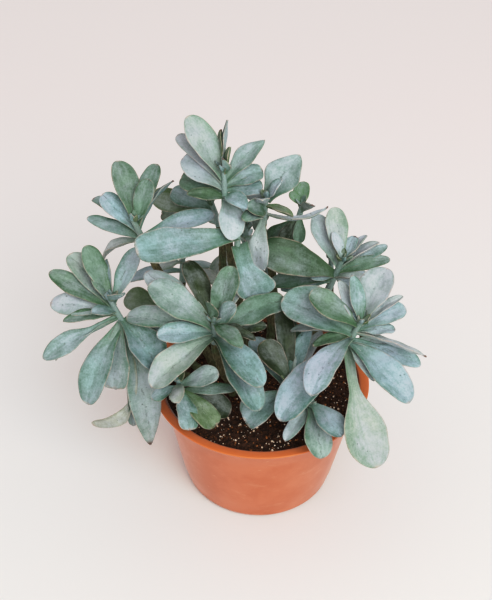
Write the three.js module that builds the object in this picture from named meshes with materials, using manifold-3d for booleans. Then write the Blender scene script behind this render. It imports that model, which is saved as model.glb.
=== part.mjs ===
// A potted succulent: a branched plant with flat, blue-grey, spoon-shaped leaves, in a round plastic pot.
// Millimetres, +Z up. The origin is the centre of the pot's flat underside, and -Y is the plant's front.
import * as THREE from "three";
import { mergeVertices } from "three/addons/utils/BufferGeometryUtils.js";
import Module from "manifold-3d";

const wasm = await Module();
wasm.setup();

// ---------------------------------------------------------------- driving dimensions
const GAP = 0.3; // clearance between solids that touch on the real plant

const POT_HEIGHT = 115;
const RIM_RADIUS = 100;
const LIP_WIDTH = 9; // the flared lip, from its outer edge to the wall's inner face
const LIP_FALL = 1.2; // how far the lip's top falls towards the soil
const LIP_EDGE = 2.2; // depth of the lip's outer edge
const FLARE_DEPTH = 5; // below the lip's top, where its hollow flare starts
const FLARE_REACH = 3.2;
const COLLAR_DEPTH = 11; // below the lip's top, where the collar starts
const COLLAR_STEP = 1.2; // how far the collar stands proud of the wall
const WALL_TOP_RADIUS = 90.5; // outside of the wall, WALL_TOP_DEPTH under the lip's top
const WALL_TOP_DEPTH = 8;
const BASE_RADIUS = 71;
const FOOT_ROUND = 5;
const INNER_ROUND = 4;
const WALL = 2.2;
const FLOOR = 3;
const POT_SIDES = 36;
const SOIL_SIDES = 18; // half as many as the pot, so that their corners line up
const DRAIN_HOLES = 6;
const DRAIN_RADIUS = 4.5;
const DRAIN_CIRCLE = 45;
const DRAIN_SIDES = 8;

const SOIL_LEVEL = 106; // at the pot's wall
const SOIL_DOME = 4; // how much higher the soil lies in the middle
const SOIL_RIPPLE = 1.2;
const RIPPLE_PITCH = { x: 7.7, y: 9, slant: 4.8 }; // each is a wave's length over two pi
const SOIL_RINGS = 3;

const STEM_SIDES = 7;
const STEM_FOOT_RADIUS = 4.4;
const STEM_TOP_RADIUS = 3.4;
const STEM_BOTTOM = 64; // the lower end of a stem, in the soil
const STEM_KNEE = 118; // a stem is upright up to here
const STEM_STEP = 24; // length of one straight piece of a stem
const STEM_NECK = 8; // the last stretch, in line with the head's crown

const CROWN_SIDES = 6;
const CROWN_FOOT = 6; // bare green stem under the lowest leaf of a head
const CROWN_TOP = 2;
const CROWN_TOP_RADIUS = 2.2;
const ROOT_OFFSET = 1.2; // from the crown's axis to a leaf's root, along the leaf

const LEAF_STATIONS = [0, 0.24, 0.48, 0.7, 0.88, 1];
const LEAF_THICKNESS = 3.4; // at the middle of a blade that is at least FULL_WIDTH wide
const FULL_WIDTH = 26;
const NARROW_THICKNESS = 0.55; // of LEAF_THICKNESS, where a blade is narrowest
const TIP_THICKNESS = 0.5; // of the blade's thickness, at its last station
const TIP_WIDTH = 0.42; // of the blade, at its squared-off last station
const SHOULDER = 0.9; // below 1 fills out a blade between its foot and its broadest place
const CURL_START = 0.75; // from here to its tip a hooked blade turns over
const WAVES = { along: 11, shift: 2 }; // radians of ripple along a margin, and between the two margins

// Blade outlines: widest is where along the blade it is broadest, foot the width at its root against the
// broadest, tip the power of the rounded end (2 round, 4 blunt), stalk how far a narrow foot runs, cup how
// much the margins rise, wave how much they ripple, and curl how far the tip turns over.
const FORMS = {
  spoon: { widest: 0.62, foot: 0.28, tip: 2.1, stalk: 0, cup: 0.1, wave: 0.03, curl: 0 },
  paddle: { widest: 0.7, foot: 0.26, tip: 2.2, stalk: 0, cup: 0.1, wave: 0.03, curl: 0 },
  oval: { widest: 0.52, foot: 0.3, tip: 2, stalk: 0, cup: 0.15, wave: 0.03, curl: 0 },
  cupped: { widest: 0.6, foot: 0.25, tip: 2, stalk: 0, cup: 0.3, wave: 0, curl: 0 },
  folded: { widest: 0.6, foot: 0.25, tip: 2, stalk: 0, cup: 0.55, wave: 0.05, curl: 0 },
  wavy: { widest: 0.64, foot: 0.25, tip: 2.4, stalk: 0, cup: 0.1, wave: 0.2, curl: 0 },
  blunt: { widest: 0.66, foot: 0.25, tip: 3.6, stalk: 0, cup: 0.08, wave: 0.06, curl: 0 },
  strap: { widest: 0.66, foot: 0.42, tip: 3.4, stalk: 0, cup: 0.12, wave: 0.04, curl: 0 },
  hooked: { widest: 0.58, foot: 0.28, tip: 2, stalk: 0, cup: 0.15, wave: 0.1, curl: -0.14 },
  lance: { widest: 0.5, foot: 0.35, tip: 1.6, stalk: 0, cup: 0.15, wave: 0, curl: 0 },
  bud: { widest: 0.5, foot: 0.5, tip: 1.8, stalk: 0, cup: 0.4, wave: 0, curl: 0 },
  stalked: { widest: 0.68, foot: 0.24, tip: 1.9, stalk: 0.3, cup: 0.1, wave: 0.03, curl: 0 },
  pointed: { widest: 0.55, foot: 0.3, tip: 1.35, stalk: 0, cup: 0.15, wave: 0.1, curl: 0 },
  tongue: { widest: 0.82, foot: 0.46, tip: 2.6, stalk: 0.4, cup: 0.12, wave: 0.02, curl: 0 },
  withered: { widest: 0.82, foot: 0.3, tip: 2, stalk: 0.5, cup: 0.3, wave: 0.4, curl: 0 },
};

// The front view, which the leaves are laid out in. It looks at the plant's middle from the front and above.
const VIEW_TARGET = new THREE.Vector3(-14.7, 0, 206.2);
const VIEW_DISTANCE = 907;
const VIEW_ELEVATION = 39.66;
const VIEW_TILT = 1.11; // of the view's upright, about its line of sight
const VIEW_WIDTH = 492; // pixels
const VIEW_HEIGHT = 600; // pixels
const VIEW_ANGLE = 32; // from the view's lower edge to its upper one
const PIXELS_PER_MM = 1.17; // at the plant's middle
const WIDTH_ALLOWANCE = 1.08; // a leaf's width against how wide it shows
const LEAST_WIDTH = 12;
const EDGE_ON = { shows: 8, width: 14 }; // a leaf that shows no wider is seen from its side
const BROAD_PLACE = 0.65; // along a leaf, where it is seen how wide it shows
const USUAL_LENGTH = 50; // of the two lengths that a rise allows, the one nearer to this holds
const ROLLS = { most: 90, step: 5, cost: 0.03 }; // the cost of a degree, in pixels of width

// The leafy heads that face the front, leaf by leaf. at is the middle of a head's crown, and crown its
// azimuth, its rise and its length. A leaf is laid out by how it shows in the front view: tip is its tip's
// place, in pixels from the view's left and upper edges, and shows its width in pixels. It has a rise, or a
// length where it points towards the viewer. arch and sway are how far its middle stands off the straight
// line, upwards and sideways, as a part of its length. Leaves are listed from the lowest to the highest.
const HEADS = [
  { name: "head_back_left", at: [-109, 40, 248], crown: [180, 70, 24], leaves: [
    { tip: [104, 262], rise: -40, shows: 8, form: "folded", arch: 0.15 },
    { tip: [88, 218], rise: 10, shows: 14, form: "oval", arch: 0.06 },
    { tip: [214, 214], rise: 15, shows: 19, form: "spoon", arch: 0.06 },
    { tip: [92, 195], rise: 16, shows: 14, form: "hooked", arch: 0.1 },
    { tip: [103, 195], rise: 32, shows: 21, form: "paddle", arch: 0.06 },
    { tip: [173, 181], rise: 35, shows: 4, form: "lance", arch: 0.1 },
    { tip: [156, 165], rise: 35, shows: 18, form: "paddle", arch: 0.05 },
    { tip: [148, 179], rise: 60, shows: 20, form: "paddle", arch: 0.06 },
    { tip: [140, 183], rise: 45, shows: 16, form: "paddle", arch: 0.05 },
    { tip: [118, 161], rise: 40, shows: 26, form: "spoon", arch: 0.05 },
  ] },
  { name: "head_top", at: [-35, 50, 291], crown: [100, 75, 28], leaves: [
    { tip: [232, 240], rise: -36, shows: 27, form: "oval", arch: 0.1 },
    { tip: [188, 194], length: 36, shows: 13, form: "oval", arch: 0.1 },
    { tip: [247, 208], length: 32, shows: 16, form: "oval", arch: 0.1 },
    { tip: [183, 178], rise: 5, shows: 26, form: "paddle", arch: 0.1 },
    { tip: [262, 186], rise: 5, shows: 18, form: "wavy", arch: 0.06 },
    { tip: [184, 158], rise: 24, shows: 33, form: "cupped", arch: 0.05 },
    { tip: [262, 170], rise: 15, shows: 22, form: "wavy", arch: 0.06 },
    { tip: [178, 135], rise: 28, shows: 18, form: "paddle", arch: 0.05 },
    { tip: [264, 140], rise: 30, shows: 20, form: "pointed", arch: 0.08 },
    { tip: [188, 116], rise: 50, shows: 28, form: "spoon", arch: 0.04 },
    { tip: [221, 130], rise: 60, shows: 6, form: "oval", arch: 0.03 },
    { tip: [227, 120], rise: 62, shows: 3, form: "lance", arch: 0.03 },
    { tip: [229, 147], length: 26, shows: 5, form: "lance", arch: 0.03 },
    { tip: [223, 158], length: 20, shows: 9, form: "bud", arch: 0.03 },
  ] },
  { name: "head_middle", at: [-23, 26, 252], crown: [90, 70, 16], leaves: [
    { tip: [259, 297], rise: -42, shows: 38, form: "tongue", arch: 0.12, sway: -0.1 },
    { tip: [137, 250], rise: 10, shows: 33, form: "strap", arch: 0.04 },
  ] },
  { name: "head_back_right", at: [0, 50, 268], crown: [-80, 75, 26], leaves: [
    { tip: [257, 271], rise: -46, shows: 22, form: "blunt", arch: 0.13 },
    { tip: [256, 232], rise: -50, shows: 16, form: "oval", arch: 0.1 },
    { tip: [327, 207], rise: 5, shows: 4, form: "lance", arch: -0.14 },
    { tip: [243, 219], length: 36, shows: 15, form: "oval", arch: 0.1 },
    { tip: [247, 207], length: 33, shows: 18, form: "oval", arch: 0.08 },
    { tip: [246, 186], rise: 20, shows: 18, form: "paddle", arch: 0.06 },
    { tip: [292, 216], length: 26, shows: 6, form: "lance", arch: 0.05 },
    { tip: [262, 199], length: 26, shows: 14, form: "oval", arch: 0.05 },
    { tip: [299, 155], rise: 40, shows: 36, form: "pointed", arch: 0.05 },
    { tip: [281, 180], length: 26, shows: 9, form: "oval", arch: 0.05 },
  ] },
  { name: "head_inner_right", at: [33, 85, 240], crown: [40, 75, 16], leaves: [
    { tip: [268, 240], rise: -40, shows: 15, form: "paddle", arch: 0.1 },
    { tip: [283, 244], rise: -45, shows: 15, form: "paddle", arch: 0.1 },
    { tip: [299, 243], rise: -50, shows: 13, form: "paddle", arch: 0.1 },
    { tip: [312, 205], length: 26, shows: 10, form: "oval", arch: 0.08 },
    { tip: [304, 182], rise: 35, shows: 17, form: "oval", arch: 0.08 },
    { tip: [291, 192], rise: 35, shows: 10, form: "oval", arch: 0.05 },
  ] },
  { name: "head_inner_back", at: [-45, 85, 240], crown: [150, 70, 18], leaves: [
    { tip: [163, 214], rise: -22, shows: 18, form: "paddle", arch: 0.1 },
    { tip: [153, 196], rise: 0, shows: 24, form: "paddle", arch: 0.1 },
    { tip: [172, 192], rise: 15, shows: 22, form: "paddle", arch: 0.08 },
    { tip: [206, 180], length: 34, shows: 20, form: "paddle", arch: 0.05 },
  ] },
  { name: "head_right", at: [66, 40, 208], crown: [20, 70, 26], leaves: [
    { tip: [278, 268], rise: 0, shows: 14, form: "lance", arch: 0.08 },
    { tip: [282, 290], rise: -12, shows: 13, form: "oval", arch: 0.12 },
    { tip: [271, 283], rise: -5, shows: 16, form: "paddle", arch: 0.08 },
    { tip: [368, 283], length: 36, shows: 8, form: "oval", arch: 0.1 },
    { tip: [309, 275], length: 28, shows: 13, form: "wavy", arch: 0.1 },
    { tip: [262, 249], rise: 26, shows: 34, form: "blunt", arch: 0.12 },
    { tip: [389, 259], rise: 10, shows: 15, form: "oval", arch: 0.08 },
    { tip: [386, 246], rise: 15, shows: 13, form: "oval", arch: 0.06 },
    { tip: [378, 243], rise: 28, shows: 8, form: "oval", arch: 0.06 },
    { tip: [316, 216], rise: 35, shows: 22, form: "spoon", arch: 0.05 },
    { tip: [366, 236], rise: 35, shows: 8, form: "oval", arch: 0.05 },
    { tip: [355, 237], rise: 40, shows: 14, form: "spoon", arch: 0.05 },
    { tip: [335, 208], rise: 42, shows: 23, form: "spoon", arch: 0.05 },
    { tip: [333, 232], length: 26, shows: 11, form: "cupped", arch: 0.05 },
  ] },
  { name: "head_front_right", at: [76, -40, 204], crown: [0, 70, 30], leaves: [
    { tip: [377, 467], rise: -50, shows: 43, form: "stalked", arch: 0.12, sway: -0.09 },
    { tip: [281, 420], rise: -25, shows: 36, form: "spoon", arch: 0.08 },
    { tip: [374, 380], rise: -15, shows: 13, form: "oval", arch: 0.08 },
    { tip: [409, 402], rise: -15, shows: 30, form: "spoon", arch: 0.08 },
    { tip: [397, 351], rise: -5, shows: 14, form: "oval", arch: 0.08 },
    { tip: [420, 365], rise: -10, shows: 18, form: "stalked", arch: 0.08 },
    { tip: [311, 395], rise: -5, shows: 29, form: "spoon", arch: 0.1 },
    { tip: [292, 331], rise: -6, shows: 8, form: "oval", arch: 0.1 },
    { tip: [314, 345], rise: 0, shows: 12, form: "oval", arch: 0.08 },
    { tip: [284, 299], rise: 15, shows: 40, form: "spoon", arch: 0.06 },
    { tip: [425, 357], rise: 2, shows: 4, form: "lance", arch: 0.03 },
    { tip: [394, 330], rise: 10, shows: 12, form: "wavy", arch: 0.06 },
    { tip: [405, 308], rise: 20, shows: 21, form: "paddle", arch: 0.06 },
    { tip: [402, 297], rise: 25, shows: 10, form: "oval", arch: 0.06 },
    { tip: [340, 281], rise: 45, shows: 13, form: "oval", arch: 0.06 },
    { tip: [311, 293], rise: 30, shows: 25, form: "spoon", arch: 0.05 },
    { tip: [387, 269], rise: 38, shows: 33, form: "spoon", arch: 0.05 },
    { tip: [353, 276], rise: 60, shows: 16, form: "oval", arch: 0.05 },
  ] },
  { name: "head_centre", at: [-41, -35, 202], crown: [-90, 75, 26], leaves: [
    { tip: [258, 410], rise: -32, shows: 30, form: "spoon", arch: 0.08 },
    { tip: [152, 387], rise: -15, shows: 30, form: "spoon", arch: 0.08 },
    { tip: [262, 386], rise: -10, shows: 29, form: "spoon", arch: 0.1 },
    { tip: [128, 317], rise: 5, shows: 22, form: "paddle", arch: 0.08 },
    { tip: [266, 326], rise: 8, shows: 16, form: "oval", arch: 0.08 },
    { tip: [158, 335], rise: 5, shows: 22, form: "spoon", arch: 0.06 },
    { tip: [146, 273], rise: 25, shows: 26, form: "spoon", arch: 0.06 },
    { tip: [284, 299], rise: 15, shows: 27, form: "wavy", arch: 0.06 },
    { tip: [243, 287], rise: 28, shows: 10, form: "oval", arch: 0.05 },
    { tip: [150, 285], rise: 28, shows: 33, form: "spoon", arch: 0.06 },
    { tip: [188, 262], rise: 35, shows: 22, form: "paddle", arch: 0.05 },
    { tip: [233, 267], rise: 53, shows: 26, form: "spoon", arch: 0.05 },
    { tip: [254, 340], length: 44, shows: 10, form: "oval", arch: 0.05 },
    { tip: [241, 347], rise: 10, shows: 17, form: "oval", arch: 0.05 },
    { tip: [235, 305], length: 30, shows: 18, form: "spoon", arch: 0.05 },
    { tip: [208, 301], length: 28, shows: 9, form: "bud", arch: 0.03 },
  ] },
  { name: "head_inner_left", at: [-85, 15, 178], crown: [-160, 65, 16], leaves: [
    { tip: [127, 296], rise: 5, shows: 26, form: "paddle", arch: 0.1 },
    { tip: [150, 300], rise: -20, shows: 22, form: "paddle", arch: 0.1 },
    { tip: [160, 340], rise: -30, shows: 22, form: "paddle", arch: 0.1 },
  ] },
  { name: "head_left", at: [-124, -20, 205], crown: [180, 70, 34], leaves: [
    { tip: [94, 424], rise: -70, shows: 18, form: "withered", arch: 0.1, sway: 0.3 },
    { tip: [150, 444], rise: -70, shows: 33, form: "pointed", arch: 0.12 },
    { tip: [133, 425], rise: -70, shows: 16, form: "wavy", arch: 0.1 },
    { tip: [88, 403], rise: -50, shows: 29, form: "spoon", arch: 0.1 },
    { tip: [115, 388], rise: -55, shows: 31, form: "blunt", arch: 0.08 },
    { tip: [158, 370], rise: -30, shows: 34, form: "folded", arch: 0.08 },
    { tip: [57, 360], rise: -20, shows: 5, form: "lance", arch: 0.06 },
    { tip: [44, 359], rise: -15, shows: 21, form: "stalked", arch: 0.05 },
    { tip: [64, 321], rise: 5, shows: 12, form: "oval", arch: 0.08 },
    { tip: [52, 303], rise: 8, shows: 22, form: "wavy", arch: 0.08 },
    { tip: [92, 312], length: 28, shows: 11, form: "oval", arch: 0.06 },
    { tip: [50, 272], rise: 25, shows: 20, form: "spoon", arch: 0.06 },
    { tip: [70, 254], rise: 35, shows: 27, form: "spoon", arch: 0.05 },
    { tip: [107, 260], rise: 50, shows: 9, form: "oval", arch: 0.05 },
    { tip: [137, 248], rise: 35, shows: 20, form: "spoon", arch: 0.05 },
    { tip: [93, 280], rise: 50, shows: 10, form: "oval", arch: 0.05 },
    { tip: [86, 246], rise: 45, shows: 22, form: "spoon", arch: 0.05 },
    { tip: [122, 294], length: 30, shows: 5, form: "lance", arch: 0.03 },
  ] },
  { name: "head_low_left", at: [-70, -60, 157], crown: [-90, 75, 18], leaves: [
    { tip: [229, 413], rise: -12, shows: 26, form: "paddle", arch: 0.08 },
    { tip: [236, 389], rise: 2, shows: 13, form: "oval", arch: 0.06 },
    { tip: [214, 426], rise: -20, shows: 24, form: "blunt", arch: 0.08 },
    { tip: [189, 429], rise: -20, shows: 21, form: "blunt", arch: 0.08 },
    { tip: [153, 399], rise: 0, shows: 13, form: "wavy", arch: 0.08 },
    { tip: [217, 373], rise: 30, shows: 20, form: "paddle", arch: 0.06 },
    { tip: [178, 402], length: 34, shows: 15, form: "spoon", arch: 0.06 },
  ] },
  { name: "head_low_middle", at: [23, -60, 161], crown: [-90, 75, 20], leaves: [
    { tip: [246, 421], rise: -25, shows: 30, form: "blunt", arch: 0.08 },
    { tip: [253, 339], rise: 25, shows: 22, form: "paddle", arch: 0.06 },
    { tip: [288, 320], rise: 38, shows: 23, form: "paddle", arch: 0.06 },
    { tip: [280, 307], rise: 42, shows: 20, form: "paddle", arch: 0.06 },
    { tip: [310, 328], rise: 38, shows: 17, form: "oval", arch: 0.05 },
    { tip: [322, 332], rise: 28, shows: 14, form: "oval", arch: 0.05 },
    { tip: [262, 343], rise: 40, shows: 26, form: "paddle", arch: 0.05 },
  ] },
  { name: "head_low_right", at: [42, -65, 143], crown: [-60, 70, 14], leaves: [
    { tip: [286, 440], rise: -12, shows: 15, form: "oval", arch: 0.08 },
    { tip: [321, 458], rise: -25, shows: 27, form: "spoon", arch: 0.08 },
    { tip: [341, 436], rise: -2, shows: 25, form: "spoon", arch: 0.06 },
  ] },
];

// The heads on the far side follow a rule: [name, x, y, z, leaves, first azimuth, longest leaf]. Their leaves
// turn by the golden angle, and shorten and rise from the lowest to the highest.
const REAR_HEADS = [
  ["head_rear_left", -76, 94, 172, 8, 50, 58],
  ["head_rear_middle", -16, 124, 184, 9, 95, 60],
  ["head_rear_right", 66, 94, 170, 8, 30, 58],
  ["head_rear_low", 6, 106, 156, 6, -78, 44],
  ["head_rear_side", 94, 40, 160, 6, 100, 42],
];
const REAR_CROWN = [90, 65, 24];
const GOLDEN_ANGLE = 137.5;
const REAR_FORMS = ["spoon", "paddle", "oval"];
const REAR_RISE = { lowest: -20, highest: 55 };
const REAR_TAPER = 0.4; // how much shorter the highest leaf is
const REAR_SPREAD = 0.12; // how much a leaf's length varies by chance
const REAR_WIDTH = 0.36; // of a leaf's length
const REAR_ARCH = 0.08;
const SEED_STEP = 31; // between two heads' first draws

// Stems: the route from the soil to under a head. The first place of a stem has height 0 where it is rooted,
// and it then stands straight up out of the soil. A stem that starts higher is a branch of the one before it,
// and both are one node.
const STEMS = [
  ["stem_top", ["head_top", [-12, 18, 0], [-20, 24, 165], [-30, 38, 235]],
    ["head_middle", [-20, 24, 165], [-21, 20, 212]]],
  ["stem_inner_back", ["head_inner_back", [-25, 42, 0], [-36, 62, 180]]],
  ["stem_back_left", ["head_back_left", [-45, 15, 0], [-68, 26, 165], [-96, 36, 215]]],
  ["stem_inner_left", ["head_inner_left", [-52, 0, 0], [-68, 8, 130]]],
  ["stem_left", ["head_left", [-62, -8, 0], [-84, -14, 138], [-104, -18, 161]]],
  ["stem_centre", ["head_centre", [-25, -18, 0], [-35, -28, 150]]],
  ["stem_low_left", ["head_low_left", [-56, -42, 0], [-67, -54, 125]]],
  ["stem_back_right", ["head_back_right", [8, 28, 0], [10, 50, 185]]],
  ["stem_inner_right", ["head_inner_right", [22, 45, 0], [28, 68, 180]]],
  ["stem_right", ["head_right", [38, 20, 0], [50, 28, 150]]],
  ["stem_front_right", ["head_front_right", [42, -14, 0], [56, -26, 150]]],
  ["stem_low_middle", ["head_low_middle", [15, -36, 0], [18, -50, 125]]],
  ["stem_low_right", ["head_low_right", [43, -56, 0]]],
  ["stem_rear_left", ["head_rear_left", [-46, 52, 0], [-62, 68, 133]]],
  ["stem_rear_middle", ["head_rear_middle", [-10, 64, 0], [-10, 100, 145]]],
  ["stem_rear_right", ["head_rear_right", [42, 54, 0], [55, 70, 132]]],
  ["stem_rear_low", ["head_rear_low", [10, 72, 0], [8, 82, 124]]],
  ["stem_rear_side", ["head_rear_side", [62, 30, 0], [76, 32, 127]]],
];

const FINISH = {
  pot: new THREE.MeshStandardMaterial({ color: "#cf7550", roughness: 0.5, metalness: 0 }),
  soil: new THREE.MeshStandardMaterial({ color: "#33241b", roughness: 0.95, metalness: 0 }),
  stem: new THREE.MeshStandardMaterial({ color: "#7c7a58", roughness: 0.8, metalness: 0 }),
  leaf: new THREE.MeshStandardMaterial({ color: "#93b3ac", roughness: 0.6, metalness: 0 }),
};

// ---------------------------------------------------------------- solids
/** A manifold solid from a closed geometry. */
function solidOf(geometry) {
  const bare = geometry.clone();
  bare.deleteAttribute("normal");
  bare.deleteAttribute("uv");
  const merged = mergeVertices(bare, 1e-4);
  return new wasm.Manifold(new wasm.Mesh({
    numProp: 3,
    vertProperties: Float32Array.from(merged.attributes.position.array),
    triVerts: Uint32Array.from(merged.index.array),
  }));
}

/** The geometry of a solid's outer skin: sealed hollows and loose scraps are left out. */
function geometryOf(solid) {
  const { vertProperties, triVerts } = solid.getMesh();
  const owner = Array.from({ length: vertProperties.length / 3 }, (_, index) => index);
  const find = (index) => {
    while (owner[index] !== index) index = owner[index] = owner[owner[index]];
    return index;
  };
  for (let t = 0; t < triVerts.length; t += 3) {
    owner[find(triVerts[t])] = find(triVerts[t + 1]);
    owner[find(triVerts[t + 1])] = find(triVerts[t + 2]);
  }
  const volumes = new Map();
  const [a, b, c] = [new THREE.Vector3(), new THREE.Vector3(), new THREE.Vector3()];
  for (let t = 0; t < triVerts.length; t += 3) {
    [a, b, c].forEach((corner, k) => corner.fromArray(vertProperties, 3 * triVerts[t + k]));
    const skin = find(triVerts[t]);
    volumes.set(skin, (volumes.get(skin) ?? 0) + a.dot(b.cross(c)));
  }
  const outer = [...volumes].reduce((best, entry) => (entry[1] > best[1] ? entry : best))[0];
  const faces = [];
  for (let t = 0; t < triVerts.length; t += 3) {
    if (find(triVerts[t]) === outer) faces.push(triVerts[t], triVerts[t + 1], triVerts[t + 2]);
  }
  const geometry = new THREE.BufferGeometry();
  geometry.setAttribute("position", new THREE.BufferAttribute(Float32Array.from(vertProperties), 3));
  geometry.setIndex(faces);
  return geometry;
}

/** A closed solid through rings of equal count, each turning left about the way the rings run. */
function loft(rings) {
  const sides = rings[0].length;
  const faces = [];
  for (let k = 0; k + 1 < rings.length; k++) {
    for (let i = 0; i < sides; i++) {
      const [here, next] = [k * sides + i, k * sides + ((i + 1) % sides)];
      const [above, aboveNext] = [here + sides, next + sides];
      // The lower half takes the other diagonal, so that a blade is split alike on both faces.
      if (i < sides / 2) faces.push(here, next, aboveNext, here, aboveNext, above);
      else faces.push(here, next, above, next, aboveNext, above);
    }
  }
  const last = (rings.length - 1) * sides;
  for (let i = 1; i + 1 < sides; i++) faces.push(0, i + 1, i, last, last + i, last + i + 1);
  const geometry = new THREE.BufferGeometry();
  const points = rings.flat().flatMap((point) => point.toArray());
  geometry.setAttribute("position", new THREE.Float32BufferAttribute(points, 3));
  geometry.setIndex(faces);
  return solidOf(geometry);
}

const OFF_AXIS = new THREE.Vector3(0.2, 1, 0.1); // no stem or crown runs this way

/** A round of as many points as sides about a centre, square to the way along. */
function ring(centre, along, radius, sides) {
  const across = OFF_AXIS.clone().cross(along).normalize();
  const up = along.clone().cross(across).normalize();
  return Array.from({ length: sides }, (_, i) => {
    const turn = (2 * Math.PI * i) / sides;
    return centre.clone().addScaledVector(across, radius * Math.cos(turn))
      .addScaledVector(up, radius * Math.sin(turn));
  });
}

/** A solid turned about Z from a profile of [radius, height] points. */
function turned(profile, sides) {
  const points = profile.map(([radius, height]) => new THREE.Vector2(radius, height));
  return new THREE.LatheGeometry(points, sides).rotateX(Math.PI / 2);
}

/** The unit vector at an azimuth and a rise, in degrees. */
function direction(azimuth, rise) {
  const [a, r] = [azimuth, rise].map(THREE.MathUtils.degToRad);
  return new THREE.Vector3(Math.cos(r) * Math.cos(a), Math.cos(r) * Math.sin(a), Math.sin(r));
}

// ---------------------------------------------------------------- pot and soil
/** Radius of the pot's outer wall at a height. */
function wallRadius(height) {
  return BASE_RADIUS + ((WALL_TOP_RADIUS - BASE_RADIUS) * height) / (POT_HEIGHT - WALL_TOP_DEPTH);
}

/** The pot: a tapered wall with a rounded foot, a collar and a flared lip, and drain holes in its floor. */
function potGeometry() {
  const collar = POT_HEIGHT - COLLAR_DEPTH;
  const flare = POT_HEIGHT - FLARE_DEPTH;
  const foot = [0, 0.5, 1].map((part) => {
    const turn = (part * Math.PI) / 2;
    return [BASE_RADIUS - FOOT_ROUND * (1 - Math.sin(turn)), FOOT_ROUND * (1 - Math.cos(turn))];
  });
  const outside = [
    [wallRadius(collar), collar],
    [wallRadius(collar) + COLLAR_STEP, collar + COLLAR_STEP],
    [WALL_TOP_RADIUS + FLARE_REACH, flare],
    [RIM_RADIUS - COLLAR_STEP / 2, POT_HEIGHT - LIP_EDGE],
    [RIM_RADIUS, POT_HEIGHT],
  ];
  const inside = [
    [RIM_RADIUS - LIP_WIDTH, POT_HEIGHT - LIP_FALL],
    [wallRadius(flare) - WALL, flare],
    [wallRadius(FLOOR + INNER_ROUND) - WALL, FLOOR + INNER_ROUND],
    [wallRadius(FLOOR) - WALL - INNER_ROUND, FLOOR],
  ];
  const body = turned([[0, 0], ...foot, ...outside, ...inside, [0, FLOOR]], POT_SIDES);
  let pot = solidOf(body);
  for (let i = 0; i < DRAIN_HOLES; i++) {
    const turn = (2 * Math.PI * (i + 0.5)) / DRAIN_HOLES;
    const drill = new THREE.CylinderGeometry(DRAIN_RADIUS, DRAIN_RADIUS, 3 * FLOOR, DRAIN_SIDES);
    drill.rotateX(Math.PI / 2);
    drill.translate(DRAIN_CIRCLE * Math.cos(turn), DRAIN_CIRCLE * Math.sin(turn), FLOOR / 2);
    pot = pot.subtract(solidOf(drill));
  }
  return geometryOf(pot);
}

/** Height of the soil's surface over the plain level at the wall. */
function soilRelief(x, y) {
  const radius = Math.hypot(x, y) / WALL_TOP_RADIUS;
  const straight = Math.sin(x / RIPPLE_PITCH.x + 1) * Math.cos(y / RIPPLE_PITCH.y);
  const slant = Math.sin((x - y) / RIPPLE_PITCH.slant) / 2;
  return (SOIL_DOME + SOIL_RIPPLE * (straight + slant)) * Math.max(0, 1 - radius * radius);
}

/** The soil, with a plain hole round every stem. */
function soilGeometry(stems) {
  const inner = (height) => wallRadius(height) - WALL - GAP;
  const bottom = FLOOR + GAP;
  const profile = [[0, bottom], [inner(FLOOR) - INNER_ROUND, bottom]];
  profile.push([inner(FLOOR + INNER_ROUND), bottom + INNER_ROUND]);
  for (let k = SOIL_RINGS; k >= 0; k--) profile.push([(inner(SOIL_LEVEL) * k) / SOIL_RINGS, SOIL_LEVEL]);
  const body = turned(profile, SOIL_SIDES);
  const place = body.attributes.position;
  for (let i = 0; i < place.count; i++) {
    if (place.getZ(i) > SOIL_LEVEL - 1) place.setZ(i, SOIL_LEVEL + soilRelief(place.getX(i), place.getY(i)));
  }
  let soil = solidOf(body);
  for (const stem of stems) {
    const rings = [STEM_BOTTOM - GAP, STEM_KNEE].map((height) => {
      const centre = stem.route.getPoint(0).setZ(height);
      return ring(centre, new THREE.Vector3(0, 0, 1), STEM_FOOT_RADIUS + 2 * GAP, STEM_SIDES);
    });
    soil = soil.subtract(loft(rings));
  }
  return geometryOf(soil);
}

// ---------------------------------------------------------------- leaves
/** Half the width of a blade, as a part of its broadest, at a place from 0 at its root to 1 at its tip. */
function bladeOutline({ widest, foot, tip, stalk }, place) {
  if (place < widest) {
    const rise = THREE.MathUtils.clamp((place - stalk) / (widest - stalk), 0, 1);
    return foot + (1 - foot) * (rise * rise * (3 - 2 * rise)) ** SHOULDER;
  }
  const fall = (place - widest) / (1 - widest);
  return Math.max((1 - fall ** tip) ** (1 / tip), TIP_WIDTH);
}

/** The ways along a blade, across it and up from it, when it is rolled about its length. */
function bladeAxes(azimuth, rise, roll) {
  const along = direction(azimuth, rise);
  const level = direction(azimuth + 90, 0);
  const turn = THREE.MathUtils.degToRad(roll);
  const across = level.clone().multiplyScalar(Math.cos(turn))
    .addScaledVector(along.clone().cross(level), Math.sin(turn));
  return { along, across, up: along.clone().cross(across) };
}

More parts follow.
